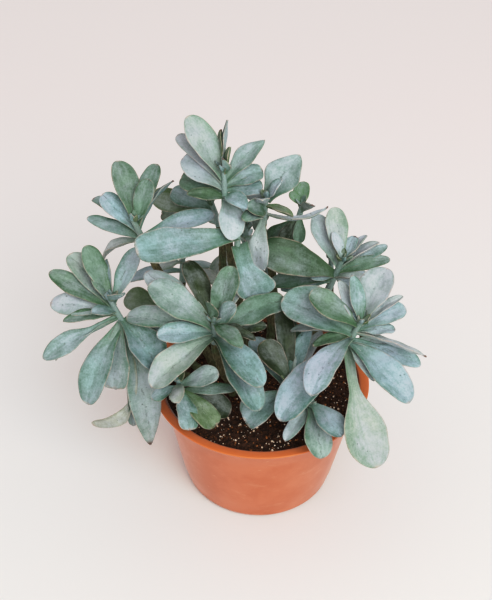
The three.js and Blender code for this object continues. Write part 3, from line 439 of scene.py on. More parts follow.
HEADS: list[Head] = [
    Head("head_back_left", (-109, 40, 248), (180, 70, 24), [
        Seen((104, 262), 8, Form.FOLDED, Tone.PALE, 0.15, -40, dry=True),
        Seen((88, 218), 14, Form.OVAL, Tone.TEAL, 0.06, 10),
        Seen((214, 214), 19, Form.SPOON, Tone.BLUE, 0.06, 15),
        Seen((92, 195), 14, Form.HOOKED, Tone.TEAL, 0.1, 16, dry=True),
        Seen((103, 195), 21, Form.PADDLE, Tone.BLUE, 0.06, 32),
        Seen((173, 181), 4, Form.LANCE, Tone.TEAL, 0.1, 35, dry=True),
        Seen((156, 165), 18, Form.PADDLE, Tone.GREEN, 0.05, 35),
        Seen((148, 179), 20, Form.PADDLE, Tone.GREEN, 0.06, 60),
        Seen((140, 183), 16, Form.PADDLE, Tone.GREEN, 0.05, 45),
        Seen((118, 161), 26, Form.SPOON, Tone.GREEN, 0.05, 40),
    ]),
    Head("head_top", (-35, 50, 291), (100, 75, 28), [
        Seen((232, 240), 27, Form.OVAL, Tone.PALE, 0.1, -36),
        Seen((188, 194), 13, Form.OVAL, Tone.DEEP, 0.1, length=36),
        Seen((247, 208), 16, Form.OVAL, Tone.BLUE, 0.1, length=32),
        Seen((183, 178), 26, Form.PADDLE, Tone.GREEN, 0.1, 5),
        Seen((262, 186), 18, Form.WAVY, Tone.TEAL, 0.06, 5),
        Seen((184, 158), 33, Form.CUPPED, Tone.PALE, 0.05, 24),
        Seen((262, 170), 22, Form.WAVY, Tone.TEAL, 0.06, 15),
        Seen((178, 135), 18, Form.PADDLE, Tone.PALE, 0.05, 28),
        Seen((264, 140), 20, Form.POINTED, Tone.SAGE, 0.08, 30),
        Seen((188, 116), 28, Form.SPOON, Tone.MIST, 0.04, 50),
        Seen((221, 130), 6, Form.OVAL, Tone.OLIVE, 0.03, 60, dry=True),
        Seen((227, 120), 3, Form.LANCE, Tone.GREY, 0.03, 62),
        Seen((229, 147), 5, Form.LANCE, Tone.OLIVE, 0.03, length=26),
        Seen((223, 158), 9, Form.BUD, Tone.SAGE, 0.03, length=20, dry=True),
    ]),
    Head("head_middle", (-23, 26, 252), (90, 70, 16), [
        Seen((259, 297), 38, Form.TONGUE, Tone.TEAL, 0.16, -42, sway=-0.1),
        Seen((137, 250), 33, Form.STRAP, Tone.TEAL, -0.01, 10),
    ]),
    Head("head_back_right", (0, 50, 268), (-80, 75, 26), [
        Seen((257, 271), 22, Form.BLUNT, Tone.PALE, 0.13, -46),
        Seen((256, 232), 16, Form.OVAL, Tone.GREEN, 0.1, -50),
        Seen((327, 207), 4, Form.LANCE, Tone.PALE, -0.14, 5, dry=True),
        Seen((243, 219), 15, Form.OVAL, Tone.GREEN, 0.1, length=36),
        Seen((247, 207), 18, Form.OVAL, Tone.GREEN, 0.08, length=33),
        Seen((246, 186), 18, Form.PADDLE, Tone.PALE, 0.06, 20),
        Seen((292, 216), 6, Form.LANCE, Tone.OLIVE, 0.05, length=26),
        Seen((262, 199), 14, Form.OVAL, Tone.PALE, 0.05, length=26),
        Seen((299, 155), 36, Form.POINTED, Tone.GREY, 0.05, 40),
        Seen((281, 180), 9, Form.OVAL, Tone.BLUE, 0.05, length=26),
    ]),
    Head("head_inner_right", (33, 85, 240), (40, 75, 16), [
        Seen((268, 240), 15, Form.PADDLE, Tone.DEEP, 0.1, -40),
        Seen((283, 244), 15, Form.PADDLE, Tone.SHADE, 0.1, -45),
        Seen((299, 243), 13, Form.PADDLE, Tone.GREEN, 0.1, -50),
        Seen((312, 205), 10, Form.OVAL, Tone.MIST, 0.08, length=26, dry=True),
        Seen((304, 182), 17, Form.OVAL, Tone.LIME, 0.08, 35),
        Seen((291, 192), 10, Form.OVAL, Tone.LIME, 0.05, 35),
    ]),
    Head("head_inner_back", (-45, 85, 240), (150, 70, 18), [
        Seen((163, 214), 18, Form.PADDLE, Tone.DEEP, 0.1, -22),
        Seen((153, 196), 24, Form.PADDLE, Tone.OLIVE, 0.1, 0),
        Seen((172, 192), 22, Form.PADDLE, Tone.TEAL, 0.08, 15),
        Seen((206, 180), 20, Form.PADDLE, Tone.DEEP, 0.05, length=34),
    ]),
    Head("head_right", (66, 40, 208), (20, 70, 26), [
        Seen((278, 268), 14, Form.LANCE, Tone.GREEN, 0.08, 0),
        Seen((282, 290), 13, Form.OVAL, Tone.BLUE, 0.12, -12),
        Seen((271, 283), 16, Form.PADDLE, Tone.GREEN, 0.08, -5),
        Seen((368, 283), 8, Form.OVAL, Tone.PALE, 0.1, length=36),
        Seen((309, 275), 13, Form.WAVY, Tone.TEAL, 0.1, length=28),
        Seen((262, 249), 34, Form.BLUNT, Tone.DEEP, 0.12, 26),
        Seen((389, 259), 15, Form.OVAL, Tone.GREEN, 0.08, 10),
        Seen((386, 246), 13, Form.OVAL, Tone.TEAL, 0.06, 15),
        Seen((378, 243), 8, Form.OVAL, Tone.PALE, 0.06, 28),
        Seen((316, 216), 22, Form.SPOON, Tone.PALE, 0.05, 35),
        Seen((366, 236), 8, Form.OVAL, Tone.PALE, 0.05, 35),
        Seen((355, 237), 14, Form.SPOON, Tone.BLUE, 0.05, 40, dry=True),
        Seen((335, 208), 23, Form.SPOON, Tone.MIST, 0.05, 42),
        Seen((333, 232), 11, Form.CUPPED, Tone.PALE, 0.05, length=26),
    ]),
    Head("head_front_right", (76, -40, 204), (0, 70, 30), [
        Seen((377, 467), 43, Form.STALKED, Tone.MIST, 0.12, -50, sway=-0.09),
        Seen((281, 420), 36, Form.SPOON, Tone.BLUE, 0.08, -25),
        Seen((374, 380), 13, Form.OVAL, Tone.PALE, 0.08, -15),
        Seen((409, 402), 30, Form.SPOON, Tone.BLUE, 0.08, -15),
        Seen((397, 351), 14, Form.OVAL, Tone.PALE, 0.08, -5),
        Seen((420, 365), 18, Form.STALKED, Tone.BLUE, 0.08, -10),
        Seen((311, 395), 29, Form.SPOON, Tone.LILAC, 0.1, -5),
        Seen((292, 331), 8, Form.OVAL, Tone.GREY, 0.1, -6),
        Seen((314, 345), 12, Form.OVAL, Tone.DEEP, 0.08, 0),
        Seen((284, 299), 40, Form.SPOON, Tone.TEAL, 0.06, 15),
        Seen((425, 357), 4, Form.LANCE, Tone.PALE, 0.03, 2, dry=True),
        Seen((394, 330), 12, Form.WAVY, Tone.BLUE, 0.06, 10),
        Seen((405, 308), 21, Form.PADDLE, Tone.BLUE, 0.06, 20),
        Seen((402, 297), 10, Form.OVAL, Tone.PALE, 0.06, 25),
        Seen((340, 281), 13, Form.OVAL, Tone.PALE, 0.06, 45),
        Seen((311, 293), 25, Form.SPOON, Tone.GREEN, 0.05, 30),
        Seen((387, 269), 33, Form.SPOON, Tone.PALE, 0.05, 38),
        Seen((353, 276), 16, Form.OVAL, Tone.TEAL, 0.05, 60),
    ]),
    Head("head_centre", (-41, -35, 202), (-90, 75, 26), [
        Seen((258, 410), 30, Form.SPOON, Tone.TEAL, 0.08, -32),
        Seen((152, 387), 30, Form.SPOON, Tone.MIST, 0.08, -15),
        Seen((262, 386), 29, Form.SPOON, Tone.TEAL, 0.1, -10),
        Seen((128, 317), 22, Form.PADDLE, Tone.SAGE, 0.13, 5),
        Seen((266, 326), 16, Form.OVAL, Tone.SHADE, 0.08, 8),
        Seen((158, 335), 22, Form.SPOON, Tone.BLUE, 0.06, 5),
        Seen((146, 273), 26, Form.SPOON, Tone.PALE, 0.06, 25),
        Seen((284, 299), 27, Form.WAVY, Tone.GREEN, 0.06, 15),
        Seen((243, 287), 10, Form.OVAL, Tone.MIST, 0.05, 28),
        Seen((150, 285), 33, Form.SPOON, Tone.SAGE, 0.06, 28),
        Seen((188, 262), 22, Form.PADDLE, Tone.SHADE, 0.05, 35),
        Seen((233, 267), 26, Form.SPOON, Tone.GREEN, 0.05, 53),
        Seen((254, 340), 10, Form.OVAL, Tone.SHADE, 0.05, length=44),
        Seen((241, 347), 17, Form.OVAL, Tone.GREEN, 0.05, 10),
        Seen((235, 305), 18, Form.SPOON, Tone.TEAL, 0.05, length=30),
        Seen((208, 301), 9, Form.BUD, Tone.DEEP, 0.03, length=28),
    ]),
    Head("head_inner_left", (-85, 15, 178), (-160, 65, 16), [
        Seen((127, 296), 26, Form.PADDLE, Tone.OLIVE, 0.1, 5),
        Seen((150, 300), 22, Form.PADDLE, Tone.GREY, 0.1, -20),
        Seen((160, 340), 22, Form.PADDLE, Tone.TEAL, 0.1, -30),
    ]),
    Head("head_left", (-124, -20, 205), (180, 70, 34), [
        Seen((94, 424), 18, Form.WITHERED, Tone.DRY, 0.1, -70, sway=0.3),
        Seen((150, 444), 33, Form.POINTED, Tone.GREY, 0.12, -70, dry=True),
        Seen((133, 425), 16, Form.WAVY, Tone.GREY, 0.1, -70),
        Seen((88, 403), 29, Form.SPOON, Tone.TEAL, 0.1, -50),
        Seen((115, 388), 31, Form.BLUNT, Tone.GREY, 0.08, -55),
        Seen((158, 370), 34, Form.FOLDED, Tone.TEAL, 0.04, -30),
        Seen((57, 360), 5, Form.LANCE, Tone.TEAL, 0.06, -20),
        Seen((44, 359), 21, Form.STALKED, Tone.TEAL, 0.05, -15),
        Seen((64, 321), 12, Form.OVAL, Tone.GREEN, 0.08, 5),
        Seen((52, 303), 22, Form.WAVY, Tone.PALE, 0.08, 8),
        Seen((92, 312), 11, Form.OVAL, Tone.TEAL, 0.06, length=28),
        Seen((50, 272), 20, Form.SPOON, Tone.GREEN, 0.06, 25),
        Seen((70, 254), 27, Form.SPOON, Tone.MIST, 0.05, 35),
        Seen((107, 260), 9, Form.OVAL, Tone.TEAL, 0.05, 50),
        Seen((137, 248), 20, Form.SPOON, Tone.BLUE, 0.05, 35),
        Seen((93, 280), 10, Form.OVAL, Tone.GREEN, 0.05, 50),
        Seen((86, 246), 22, Form.SPOON, Tone.GREEN, 0.05, 45),
        Seen((122, 294), 5, Form.LANCE, Tone.TEAL, 0.03, length=30),
    ]),
    Head("head_low_left", (-70, -60, 157), (-90, 75, 18), [
        Seen((229, 413), 26, Form.PADDLE, Tone.SHADE, 0.08, -12),
        Seen((236, 389), 13, Form.OVAL, Tone.GREEN, 0.06, 2),
        Seen((214, 426), 24, Form.BLUNT, Tone.OLIVE, 0.08, -20),
        Seen((189, 429), 21, Form.BLUNT, Tone.TEAL, 0.08, -20),
        Seen((153, 399), 13, Form.WAVY, Tone.TEAL, 0.08, 0),
        Seen((217, 373), 20, Form.PADDLE, Tone.GREY, 0.06, 30),
        Seen((178, 402), 15, Form.SPOON, Tone.MIST, 0.06, length=34),
    ]),
    Head("head_low_middle", (23, -60, 161), (-90, 75, 20), [
        Seen((246, 421), 30, Form.BLUNT, Tone.TEAL, 0.08, -25),
        Seen((253, 339), 22, Form.PADDLE, Tone.BLUE, 0.06, 25),
        Seen((288, 320), 23, Form.PADDLE, Tone.DEEP, 0.06, 38),
        Seen((280, 307), 20, Form.PADDLE, Tone.SHADE, 0.06, 42),
        Seen((310, 328), 17, Form.OVAL, Tone.TEAL, 0.05, 38),
        Seen((322, 332), 14, Form.OVAL, Tone.PALE, 0.05, 28),
        Seen((262, 343), 26, Form.PADDLE, Tone.SHADE, 0.05, 40),
    ]),
    Head("head_low_right", (42, -65, 143), (-60, 70, 14), [
        Seen((286, 440), 15, Form.OVAL, Tone.PALE, 0.08, -12),
        Seen((321, 458), 27, Form.SPOON, Tone.SAGE, 0.08, -25),
        Seen((341, 436), 25, Form.SPOON, Tone.BLUE, 0.06, -2),
    ]),
]

# Heads on the far side: name, place, number of leaves, azimuth of the first and length of the longest.
REAR_HEADS: list[tuple[str, Place, int, float, float]] = [
    ("head_rear_left", (-76, 94, 172), 8, 50, 58),
    ("head_rear_middle", (-16, 124, 184), 9, 95, 60),
    ("head_rear_right", (66, 94, 170), 8, 30, 58),
    ("head_rear_low", (6, 106, 156), 6, -78, 44),
    ("head_rear_side", (94, 40, 160), 6, 100, 42),
]

# Stems: the head that each ends under, by its name's end, and its places from the soil up.
STEMS: dict[str, list[Place]] = {
    "top": [(-12, 18, 0), (-20, 24, 165), (-30, 38, 235)],
    "inner_back": [(-25, 42, 0), (-36, 62, 180)],
    "back_left": [(-45, 15, 0), (-68, 26, 165), (-96, 36, 215)],
    "inner_left": [(-52, 0, 0), (-68, 8, 130)],
    "left": [(-62, -8, 0), (-84, -14, 138), (-104, -18, 161)],
    "centre": [(-25, -18, 0), (-35, -28, 150)],
    "low_left": [(-56, -42, 0), (-67, -54, 125)],
    "back_right": [(8, 28, 0), (10, 50, 185)],
    "inner_right": [(22, 45, 0), (28, 68, 180)],
    "right": [(38, 20, 0), (50, 28, 150)],
    "front_right": [(42, -14, 0), (56, -26, 150)],
    "low_middle": [(15, -36, 0), (18, -50, 125)],
    "low_right": [(43, -56, 0)],
    "rear_left": [(-46, 52, 0), (-62, 68, 133)],
    "rear_middle": [(-10, 64, 0), (-10, 100, 145)],
    "rear_right": [(42, 54, 0), (55, 70, 132)],
    "rear_low": [(10, 72, 0), (8, 82, 124)],
    "rear_side": [(62, 30, 0), (76, 32, 127)],
}

# Side branches: the stem that each forks from, its own head, and its places from the fork up.
BRANCHES: list[tuple[str, str, list[Place]]] = [("top", "middle", [(-20, 24, 165), (-21, 20, 212)])]


# ------------------------------ modelling bench
def deselect_all() -> None:
    """Leaves edit mode and selects nothing."""
    if bpy.context.object and bpy.context.object.mode != "OBJECT":
        bpy.ops.object.mode_set(mode="OBJECT")
    bpy.ops.object.select_all(action="DESELECT")


def activate(*objects: Item) -> None:
    """Selects these objects alone.

    Args:
        *objects: The objects, of which the first becomes the active one.
    """
    deselect_all()
    for item in objects:
        item.select_set(True)
    bpy.context.view_layer.objects.active = objects[0]


def named(name: str) -> Item:
    """Names the new active object and its mesh.

    Args:
        name: The piece's plain name.

    Returns:
        The active object.
    """
    made = bpy.context.object
    made.name = name
    made.data.name = name
    return made


def modify(item: Item, kind: str, **settings: object) -> None:
    """Adds a modifier with these settings and applies it.

    Args:
        item: The object to shape.
        kind: The modifier's type.
        **settings: Values of its properties.
    """
    activate(item)
    modifier = item.modifiers.new(kind.title(), kind)
    for key, value in settings.items():
        setattr(modifier, key, value)
    bpy.ops.object.modifier_apply(modifier=modifier.name)


def smooth_faces(item: Item, angle: float) -> None:
    """Shades an object smooth, but for its edges of more than an angle, in degrees."""
    activate(item)
    bpy.ops.object.shade_smooth_by_angle(angle=math.radians(angle))


def pick_outer_edge() -> None:
    """Opens the active object for editing, with its outer edge picked."""
    bpy.ops.object.mode_set(mode="EDIT")
    bpy.ops.mesh.select_mode(type="EDGE")
    bpy.ops.mesh.select_all(action="SELECT")
    bpy.ops.mesh.region_to_loop()


def close_skin() -> None:
    """Fills the picked ring, turns all faces outwards and leaves edit mode."""
    bpy.ops.mesh.edge_face_add()
    bpy.ops.mesh.select_all(action="SELECT")
    bpy.ops.mesh.normals_make_consistent(inside=False)
    bpy.ops.mesh.select_mode(type="VERT")
    bpy.ops.object.mode_set(mode="OBJECT")


def settle(item: Item) -> None:
    """Puts an object's place into its mesh, so that the object sits at the origin."""
    activate(item)
    bpy.ops.object.transform_apply(location=True, rotation=True, scale=True)


def copy_of(item: Item, name: str) -> Item:
    """Copies an object.

    Args:
        item: The object.
        name: The copy's name.

    Returns:
        The copy, with a mesh of its own.
    """
    twin = item.copy()
    twin.data = item.data.copy()
    twin.name = name
    bpy.context.scene.collection.objects.link(twin)
    return twin


def joined(name: str, parts: list[Item]) -> Item:
    """Joins parts into one piece.

    Args:
        name: The piece's name.
        parts: Its parts, which it takes the place of.

    Returns:
        The piece.
    """
    activate(*parts)
    if len(parts) > 1:
        bpy.ops.object.join()
    return named(name)


def finish(item: Item, material: Material, replaces: str = "") -> None:
    """Dresses a piece and lets it ride on the plant.

    Args:
        item: The piece.
        material: What it is made of.
        replaces: The frame's node that it stands for, if any.
    """
    item.data.materials.clear()
    item.data.materials.append(material)
    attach(item, BODY)
    if replaces:
        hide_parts(replaces)
    log.info("%s: %d faces", item.name, len(item.data.polygons))


def coordinates(mesh: bpy.types.Mesh) -> Array:
    """Reads the vertices of a mesh.

    Args:
        mesh: The mesh.

    Returns:
        Their places, one to a row, in the mesh's own unit.
    """
    flat = np.empty(3 * len(mesh.vertices), np.float32)
    mesh.vertices.foreach_get("co", flat)
    return flat.reshape(-1, 3).astype(float)


def place_vertices(mesh: bpy.types.Mesh, points: Array) -> None:
    """Moves the vertices of a mesh, given in millimetres."""
    mesh.vertices.foreach_set("co", (points * MM).astype(np.float32).ravel())
    mesh.update()


def ripple_noise(points: Array, pitch: float, seed: int) -> Array:
    """A smooth uneven field of sines, from about -1 to 1.

    Args:
        points: Places, one to a row, in millimetres.
        pitch: Size of its bumps in millimetres.
        seed: Which of many such fields.

    Returns:
        The field's value at each place.
    """
    draw = np.random.default_rng(seed)
    total = np.zeros(len(points))
    for _ in range(NOISE_WAVES):
        way = draw.normal(size=3)
        way *= 2 * math.pi / (pitch * draw.uniform(*NOISE_SPREAD) * np.linalg.norm(way))
        total += np.sin(points @ way + draw.uniform(0, 2 * math.pi))
    return 2 * total / NOISE_WAVES


# ------------------------------ shader bench
@dataclass
class Bench:
    """Places nodes in one tree and links them."""

    tree: Tree

    def node(self, kind: str, inputs: dict[str | int, object] | None = None,
             **settings: object) -> Node:
        """Adds a node.

        Args:
            kind: Its type, without the leading ShaderNode.
            inputs: Sockets to set: a value, or an output socket to link.
            **settings: Values of the node's own properties.

        Returns:
            The node.
        """
        made = self.tree.nodes.new(f"ShaderNode{kind}")
        for key, value in settings.items():
            setattr(made, key, value)
        for socket, value in (inputs or {}).items():
            self.put(made.inputs[socket], value)
        return made

    def put(self, socket: Socket, value: object) -> None:
        """Sets or links one input socket.

        Args:
            socket: The input.
            value: Its value, or an output socket to link.
        """
        if isinstance(value, Socket):
            self.tree.links.new(value, socket)
        else:
            socket.default_value = value

    def maths(self, operation: str, *values: object, clamp: bool = False) -> Socket:
        """A number worked out from one to three others."""
        made = self.node("Math", dict(enumerate(values)), operation=operation, use_clamp=clamp)
        return made.outputs[0]

    def times(self, first: object, second: object) -> Socket:
        """The product of two numbers."""
        return self.maths("MULTIPLY", first, second)

    def add_part(self, value: object, part: object, base: object, clamp: bool = False) -> Socket:
        """A base with a part of a value added to it."""
        return self.maths("MULTIPLY_ADD", value, part, base, clamp=clamp)

    def ease(self, value: object, low: object, high: object,
             start: float = 0.0, end: float = 1.0) -> Socket:
        """A number that eases from start at low to end at high."""
        sockets = {"Value": value, "From Min": low, "From Max": high, "To Min": start, "To Max": end}
        return self.node("MapRange", sockets, interpolation_type="SMOOTHSTEP").outputs[0]

    def mix(self, share: object, below: object, above: object) -> Socket:
        """A colour between two others."""
        return self.node("Mix", {0: share, 6: below, 7: above}, data_type="RGBA").outputs[2]

    def group(self, tree: Tree, **inputs: object) -> Node:
        """Places a shared group.

        Args:
            tree: The group.
            **inputs: Its own values, by the inputs' names.

        Returns:
            The group's node.
        """
        made = self.node("Group", node_tree=tree)
        for name, value in inputs.items():
            self.put(made.inputs[name.capitalize()], value)
        return made


def new_group(name: str, inputs: dict[str, tuple[str, object]],
              outputs: Iterable[str]) -> tuple[Bench, Node]:
    """Starts a shared shader group.

    Args:
        name: The group's name.
        inputs: For each input its kind, such as Float, and its usual value, or None.
        outputs: Names of the outputs, all numbers.

    Returns:
        A bench on the group's tree, and its input node.
    """
    tree = bpy.data.node_groups.new(name, "ShaderNodeTree")
    for label, (kind, value) in inputs.items():
        socket = tree.interface.new_socket(label, in_out="INPUT", socket_type=f"NodeSocket{kind}")
        if value is not None:
            socket.default_value = value
    for label in outputs:
        tree.interface.new_socket(label, in_out="OUTPUT", socket_type="NodeSocketFloat")
    return Bench(tree), tree.nodes.new("NodeGroupInput")


def close_group(bench: Bench, **outputs: Socket) -> Tree:
    """Ends a shared shader group.

    Args:
        bench: The bench on its tree.
        **outputs: What each output puts out.

    Returns:
        The group.
    """
    end = bench.tree.nodes.new("NodeGroupOutput")
    for name, socket in outputs.items():
        bench.tree.links.new(socket, end.inputs[name.capitalize()])
    return bench.tree


@dataclass(frozen=True)
class Mottle:
    """Settings of a cloudy pattern: its scale, and the heights that its mask eases between."""

    scale: float
    low: float = 0.38
    high: float = 0.62


@dataclass(frozen=True)
class Specks:
    """Settings of a speckled pattern: its scale, the size of a speck and the share of cells that have one."""

    scale: float
    size: float
    share: float


class Patterns:
    """The shader groups that more than one material uses."""

    detail: float = 4.0
    roughness: float = 0.6
    speck_core: float = 0.4

    def __init__(self) -> None:
        """Builds each group once."""
        self.groups = {Mottle: self._mottle(), Specks: self._speckle()}

    def _mottle(self) -> Tree:
        """Makes cloudy patches.

        Returns:
            A group with a mask with soft edges, and the raw height behind it.
        """
        sockets = {"Vector": ("Vector", None), "Scale": ("Float", 100.0), "Low": ("Float", 0.4),
                   "High": ("Float", 0.6)}
        bench, start = new_group("mottle", sockets, ("Mask", "Height"))
        noise = bench.node("TexNoise", {"Vector": start.outputs["Vector"], "Scale": start.outputs["Scale"],
                                        "Detail": self.detail, "Roughness": self.roughness})
        mask = bench.ease(noise.outputs["Fac"], start.outputs["Low"], start.outputs["High"])
        return close_group(bench, mask=mask, height=noise.outputs["Fac"])

    def _speckle(self) -> Tree:
        """Makes scattered specks.

        Returns:
            A group with a mask that is 1 in a share of the cells, near each cell's middle.
        """
        sockets = {"Vector": ("Vector", None), "Scale": ("Float", 400.0), "Size": ("Float", 0.25),
                   "Share": ("Float", 0.1)}
        bench, start = new_group("speckle", sockets, ("Mask",))
        cells = bench.node("TexVoronoi", {"Vector": start.outputs["Vector"], "Scale": start.outputs["Scale"]})
        red = bench.node("SeparateColor", {0: cells.outputs["Color"]}).outputs[0]
        chosen = bench.maths("LESS_THAN", red, start.outputs["Share"])
        core = bench.times(start.outputs["Size"], self.speck_core)
        near = bench.ease(cells.outputs["Distance"], start.outputs["Size"], core)
        return close_group(bench, mask=bench.times(near, chosen))

    def place(self, bench: Bench, where: Socket, look: Mottle | Specks) -> Iterable[Socket]:
        """Places a pattern in a material.

        Args:
            bench: The material's bench.
            where: The places that the pattern follows.
            look: Its settings.

        Returns:
            Its mask, and for a cloudy pattern also its height.
        """
        return bench.group(self.groups[type(look)], vector=where, **vars(look)).outputs


def new_material(name: str) -> tuple[Bench, Node]:
    """A new material with its Principled shader.

    Args:
        name: The material's plain name.

    Returns:
        A bench on its tree, and the shader.
    """
    material = bpy.data.materials.new(name)
    material.use_nodes = True
    return Bench(material.node_tree), material.node_tree.nodes["Principled BSDF"]


def material_of(bench: Bench) -> Material:
    """The material that a bench works on."""
    return next(m for m in bpy.data.materials if m.node_tree == bench.tree)


def dress(bench: Bench, shader: Node, colour: Socket, roughness: Socket, height: Socket,
          relief: Span) -> Material:
    """Ends a material.

    Args:
        bench: The material's bench.
        shader: Its Principled shader.
        colour: Its colour.
        roughness: Its roughness.
        height: The height of its surface, from 0 to 1.
        relief: What a height of 1 stands for, in millimetres, and how strongly it shows, up to 1.

    Returns:
        The material.
    """
    bench.put(shader.inputs["Base Color"], colour)
    bench.put(shader.inputs["Roughness"], roughness)
    depth, strength = relief
    made = bench.node("Bump", {"Height": height, "Distance": depth * MM, "Strength": strength})
    bench.put(shader.inputs["Normal"], made.outputs["Normal"])
    return material_of(bench)


# ------------------------------ finishes
Fields = dict[str, Socket]


@dataclass(frozen=True)
class LeafFinish:
    """Fleshy leaves under powdery wax, with a thin pink-brown margin and a greener root.

    A leaf's mesh brings its own two colours, its wax cover and its seed. The blade map runs from 0 to 1 along
    the leaf and across it. The shares say how strongly each effect shows.
    """

    margin: str = "B7A499"
    root: str = "7C9A78"
    lilac: str = "A9AFBB"
    # Colour of the specks and dashes, and of the painted shade along a crease.
    speck: str = "465347"
    scar: str = "C9D3CD"
    tip: str = "5E4234"
    clouds: Mottle = Mottle(34.0)
    patches: Mottle = Mottle(75.0, 0.36, 0.64)
    blotches: Mottle = Mottle(230.0)
    grain: Mottle = Mottle(640.0, 0.34, 0.66)
    streaks: Mottle = Mottle(0.8, 0.35, 0.65)
    streaks_along: float = 5.0
    streaks_across: float = 10.0
    streaks_shift: float = 57.0
    specks: Specks = Specks(300.0, 0.32, 0.1)
    dashes: Specks = Specks(2.0, 0.2, 0.08)
    scuffs: Specks = Specks(1.2, 0.22, 0.06)
    patches_wear: float = 0.24
    blotches_wear: float = 0.16
    streaks_wear: float = 0.26
    grain_wear: float = 0.24
    margin_band: Span = (0.35, 1.0)
    margin_wear: float = -0.3
    lean: float = 0.55
    lean_turns: float = 40.0
    root_band: Span = (0.5, 0.03)
    root_wear: float = -0.3
    root_share: float = 0.3
    lilac_share: float = 0.5
    marks_share: Span = (0.5, 0.12)
    line_place: float = 0.78
    line_wander: float = 0.5
    line_band: Span = (0.04, 0.012)
    line_breaks: Span = (0.5, 0.57)
    line_turns: float = 7.0
    line_seeds: Span = (0.45, 0.6)
    line_share: float = 0.42
    scuffs_share: float = 0.35
    rim_band: Span = (0.9, 0.985)
    end_band: Span = (0.965, 0.995)
    rim_share: Span = (0.4, 0.2)
    tip_band: Span = (0.93, 0.99)
    dry_seeds: Span = (0.895, 0.905)
    tip_share: float = 0.85
    roughness: Span = (0.4, 0.62)
    blotches_height: float = 0.5
    streaks_height: float = 0.6
    relief: Span = (0.8, 0.55)

    def build(self, patterns: Patterns) -> Material:
        """Makes the material, which reads each leaf's own colours from its mesh.

        Args:
            patterns: The shared groups.

        Returns:
            The material.
        """
        bench, shader = new_material("waxy_leaf")
        fields = self._fields(bench, patterns)
        wax, colour = self._powdered(bench, fields)
        colour = self._marked(bench, patterns, fields, colour)
        colour = self._edged(bench, fields, colour)
        rough = bench.ease(wax, 0.0, 1.0, *self.roughness)
        height = bench.add_part(fields["blotches_height"], self.blotches_height, fields["grain_height"])
        height = bench.add_part(fields["streaks_height"], self.streaks_height, height)
        return dress(bench, shader, colour, rough, height, self.relief)

    def _fields(self, bench: Bench, patterns: Patterns) -> Fields:
        """What the other steps read.

        Args:
            bench: The material's bench.
            patterns: The shared groups.

        Returns:
            The places, the leaf's own values, and the cloudy patterns with their heights, by name.
        """
        blade = bench.node("SeparateXYZ", {0: bench.node("UVMap", uv_map="blade").outputs[0]})
        powder = bench.node("Attribute", attribute_name="powder")
        flesh = bench.node("Attribute", attribute_name="flesh")
        fields = {"along": blade.outputs[0], "across": blade.outputs[1],
                  "where": bench.node("TexCoord").outputs["Object"],
                  "powder": powder.outputs["Color"], "cover": powder.outputs["Alpha"],
                  "flesh": flesh.outputs["Color"], "seed": flesh.outputs["Alpha"]}
        fields["side"] = bench.maths("ABSOLUTE", bench.add_part(fields["across"], 2.0, -1.0))
        fields["lengthwise"] = bench.node("CombineXYZ", {
            0: bench.times(fields["along"], self.streaks_along),
            1: bench.times(fields["across"], self.streaks_across),
            2: bench.times(fields["seed"], self.streaks_shift)}).outputs[0]
        for name in ("clouds", "patches", "blotches", "grain", "streaks"):
            where = fields["lengthwise" if name == "streaks" else "where"]
            mask, height = patterns.place(bench, where, getattr(self, name))
            fields[name], fields[f"{name}_height"] = mask, height
        return fields

    def _powdered(self, bench: Bench, fields: Fields) -> tuple[Socket, Socket]:
        """The wax: less in patches, towards the margins, on one side of each leaf, a side set at random, and
        at its greener root.

        Args:
            bench: The material's bench.
            fields: What it reads.

        Returns:
            How much wax is left, and the leaf's colour under its marks.
        """
        wax = fields["cover"]
        for name, share in (("patches", self.patches_wear), ("blotches", self.blotches_wear),
                            ("streaks", self.streaks_wear), ("grain", self.grain_wear)):
            wax = bench.add_part(bench.maths("SUBTRACT", fields[name], 0.5), share, wax)
        wax = bench.add_part(bench.ease(fields["side"], *self.margin_band), self.margin_wear, wax)
        # Less wax on one side of each leaf than the other, the side set at random by the leaf's seed.
        tilt = bench.times(bench.maths("SINE", bench.times(fields["seed"], self.lean_turns)),
                           bench.add_part(fields["across"], 1.0, -0.5))
        wax = bench.add_part(tilt, self.lean, wax)
        rootward = bench.ease(fields["along"], *self.root_band)
        wax = bench.add_part(rootward, self.root_wear, wax, clamp=True)
        bloom = bench.times(fields["clouds"], self.lilac_share)
        bloom = bench.mix(bloom, fields["powder"], paint(self.lilac))
        colour = bench.mix(wax, fields["flesh"], bloom)
        return wax, bench.mix(bench.times(rootward, self.root_share), colour, paint(self.root))

    def _marked(self, bench: Bench, patterns: Patterns, fields: Fields, colour: Socket) -> Socket:
        """Adds specks and dashes, a broken dark line of painted crease shade along some leaves, and pale
        scuffs.

        Args:
            bench: The material's bench.
            patterns: The shared groups.
            fields: What it reads.
            colour: The colour so far.

        Returns:
            The colour with its marks.
        """
        specks, = patterns.place(bench, fields["where"], self.specks)
        dashes, = patterns.place(bench, fields["lengthwise"], self.dashes)
        marks = bench.times(bench.maths("MAXIMUM", specks, dashes),
                            bench.add_part(fields["patches"], *self.marks_share))
        colour = bench.mix(marks, colour, paint(self.speck))
        # Painted shade: a broken dark line along some leaves, where a crease would hold shade.
        middle = bench.add_part(fields["patches_height"], self.line_wander,
                                bench.maths("SUBTRACT", fields["across"], self.line_place))
        line = bench.ease(bench.maths("ABSOLUTE", middle), *self.line_band)
        line = bench.times(line, bench.ease(fields["blotches_height"], *self.line_breaks))
        chosen = bench.maths("FRACT", bench.times(fields["seed"], self.line_turns))
        line = bench.times(line, bench.ease(chosen, *self.line_seeds, 0.0, self.line_share))
        colour = bench.mix(line, colour, paint(self.speck))
        scuffs, = patterns.place(bench, fields["lengthwise"], self.scuffs)
        return bench.mix(bench.times(scuffs, self.scuffs_share), colour, paint(self.scar))

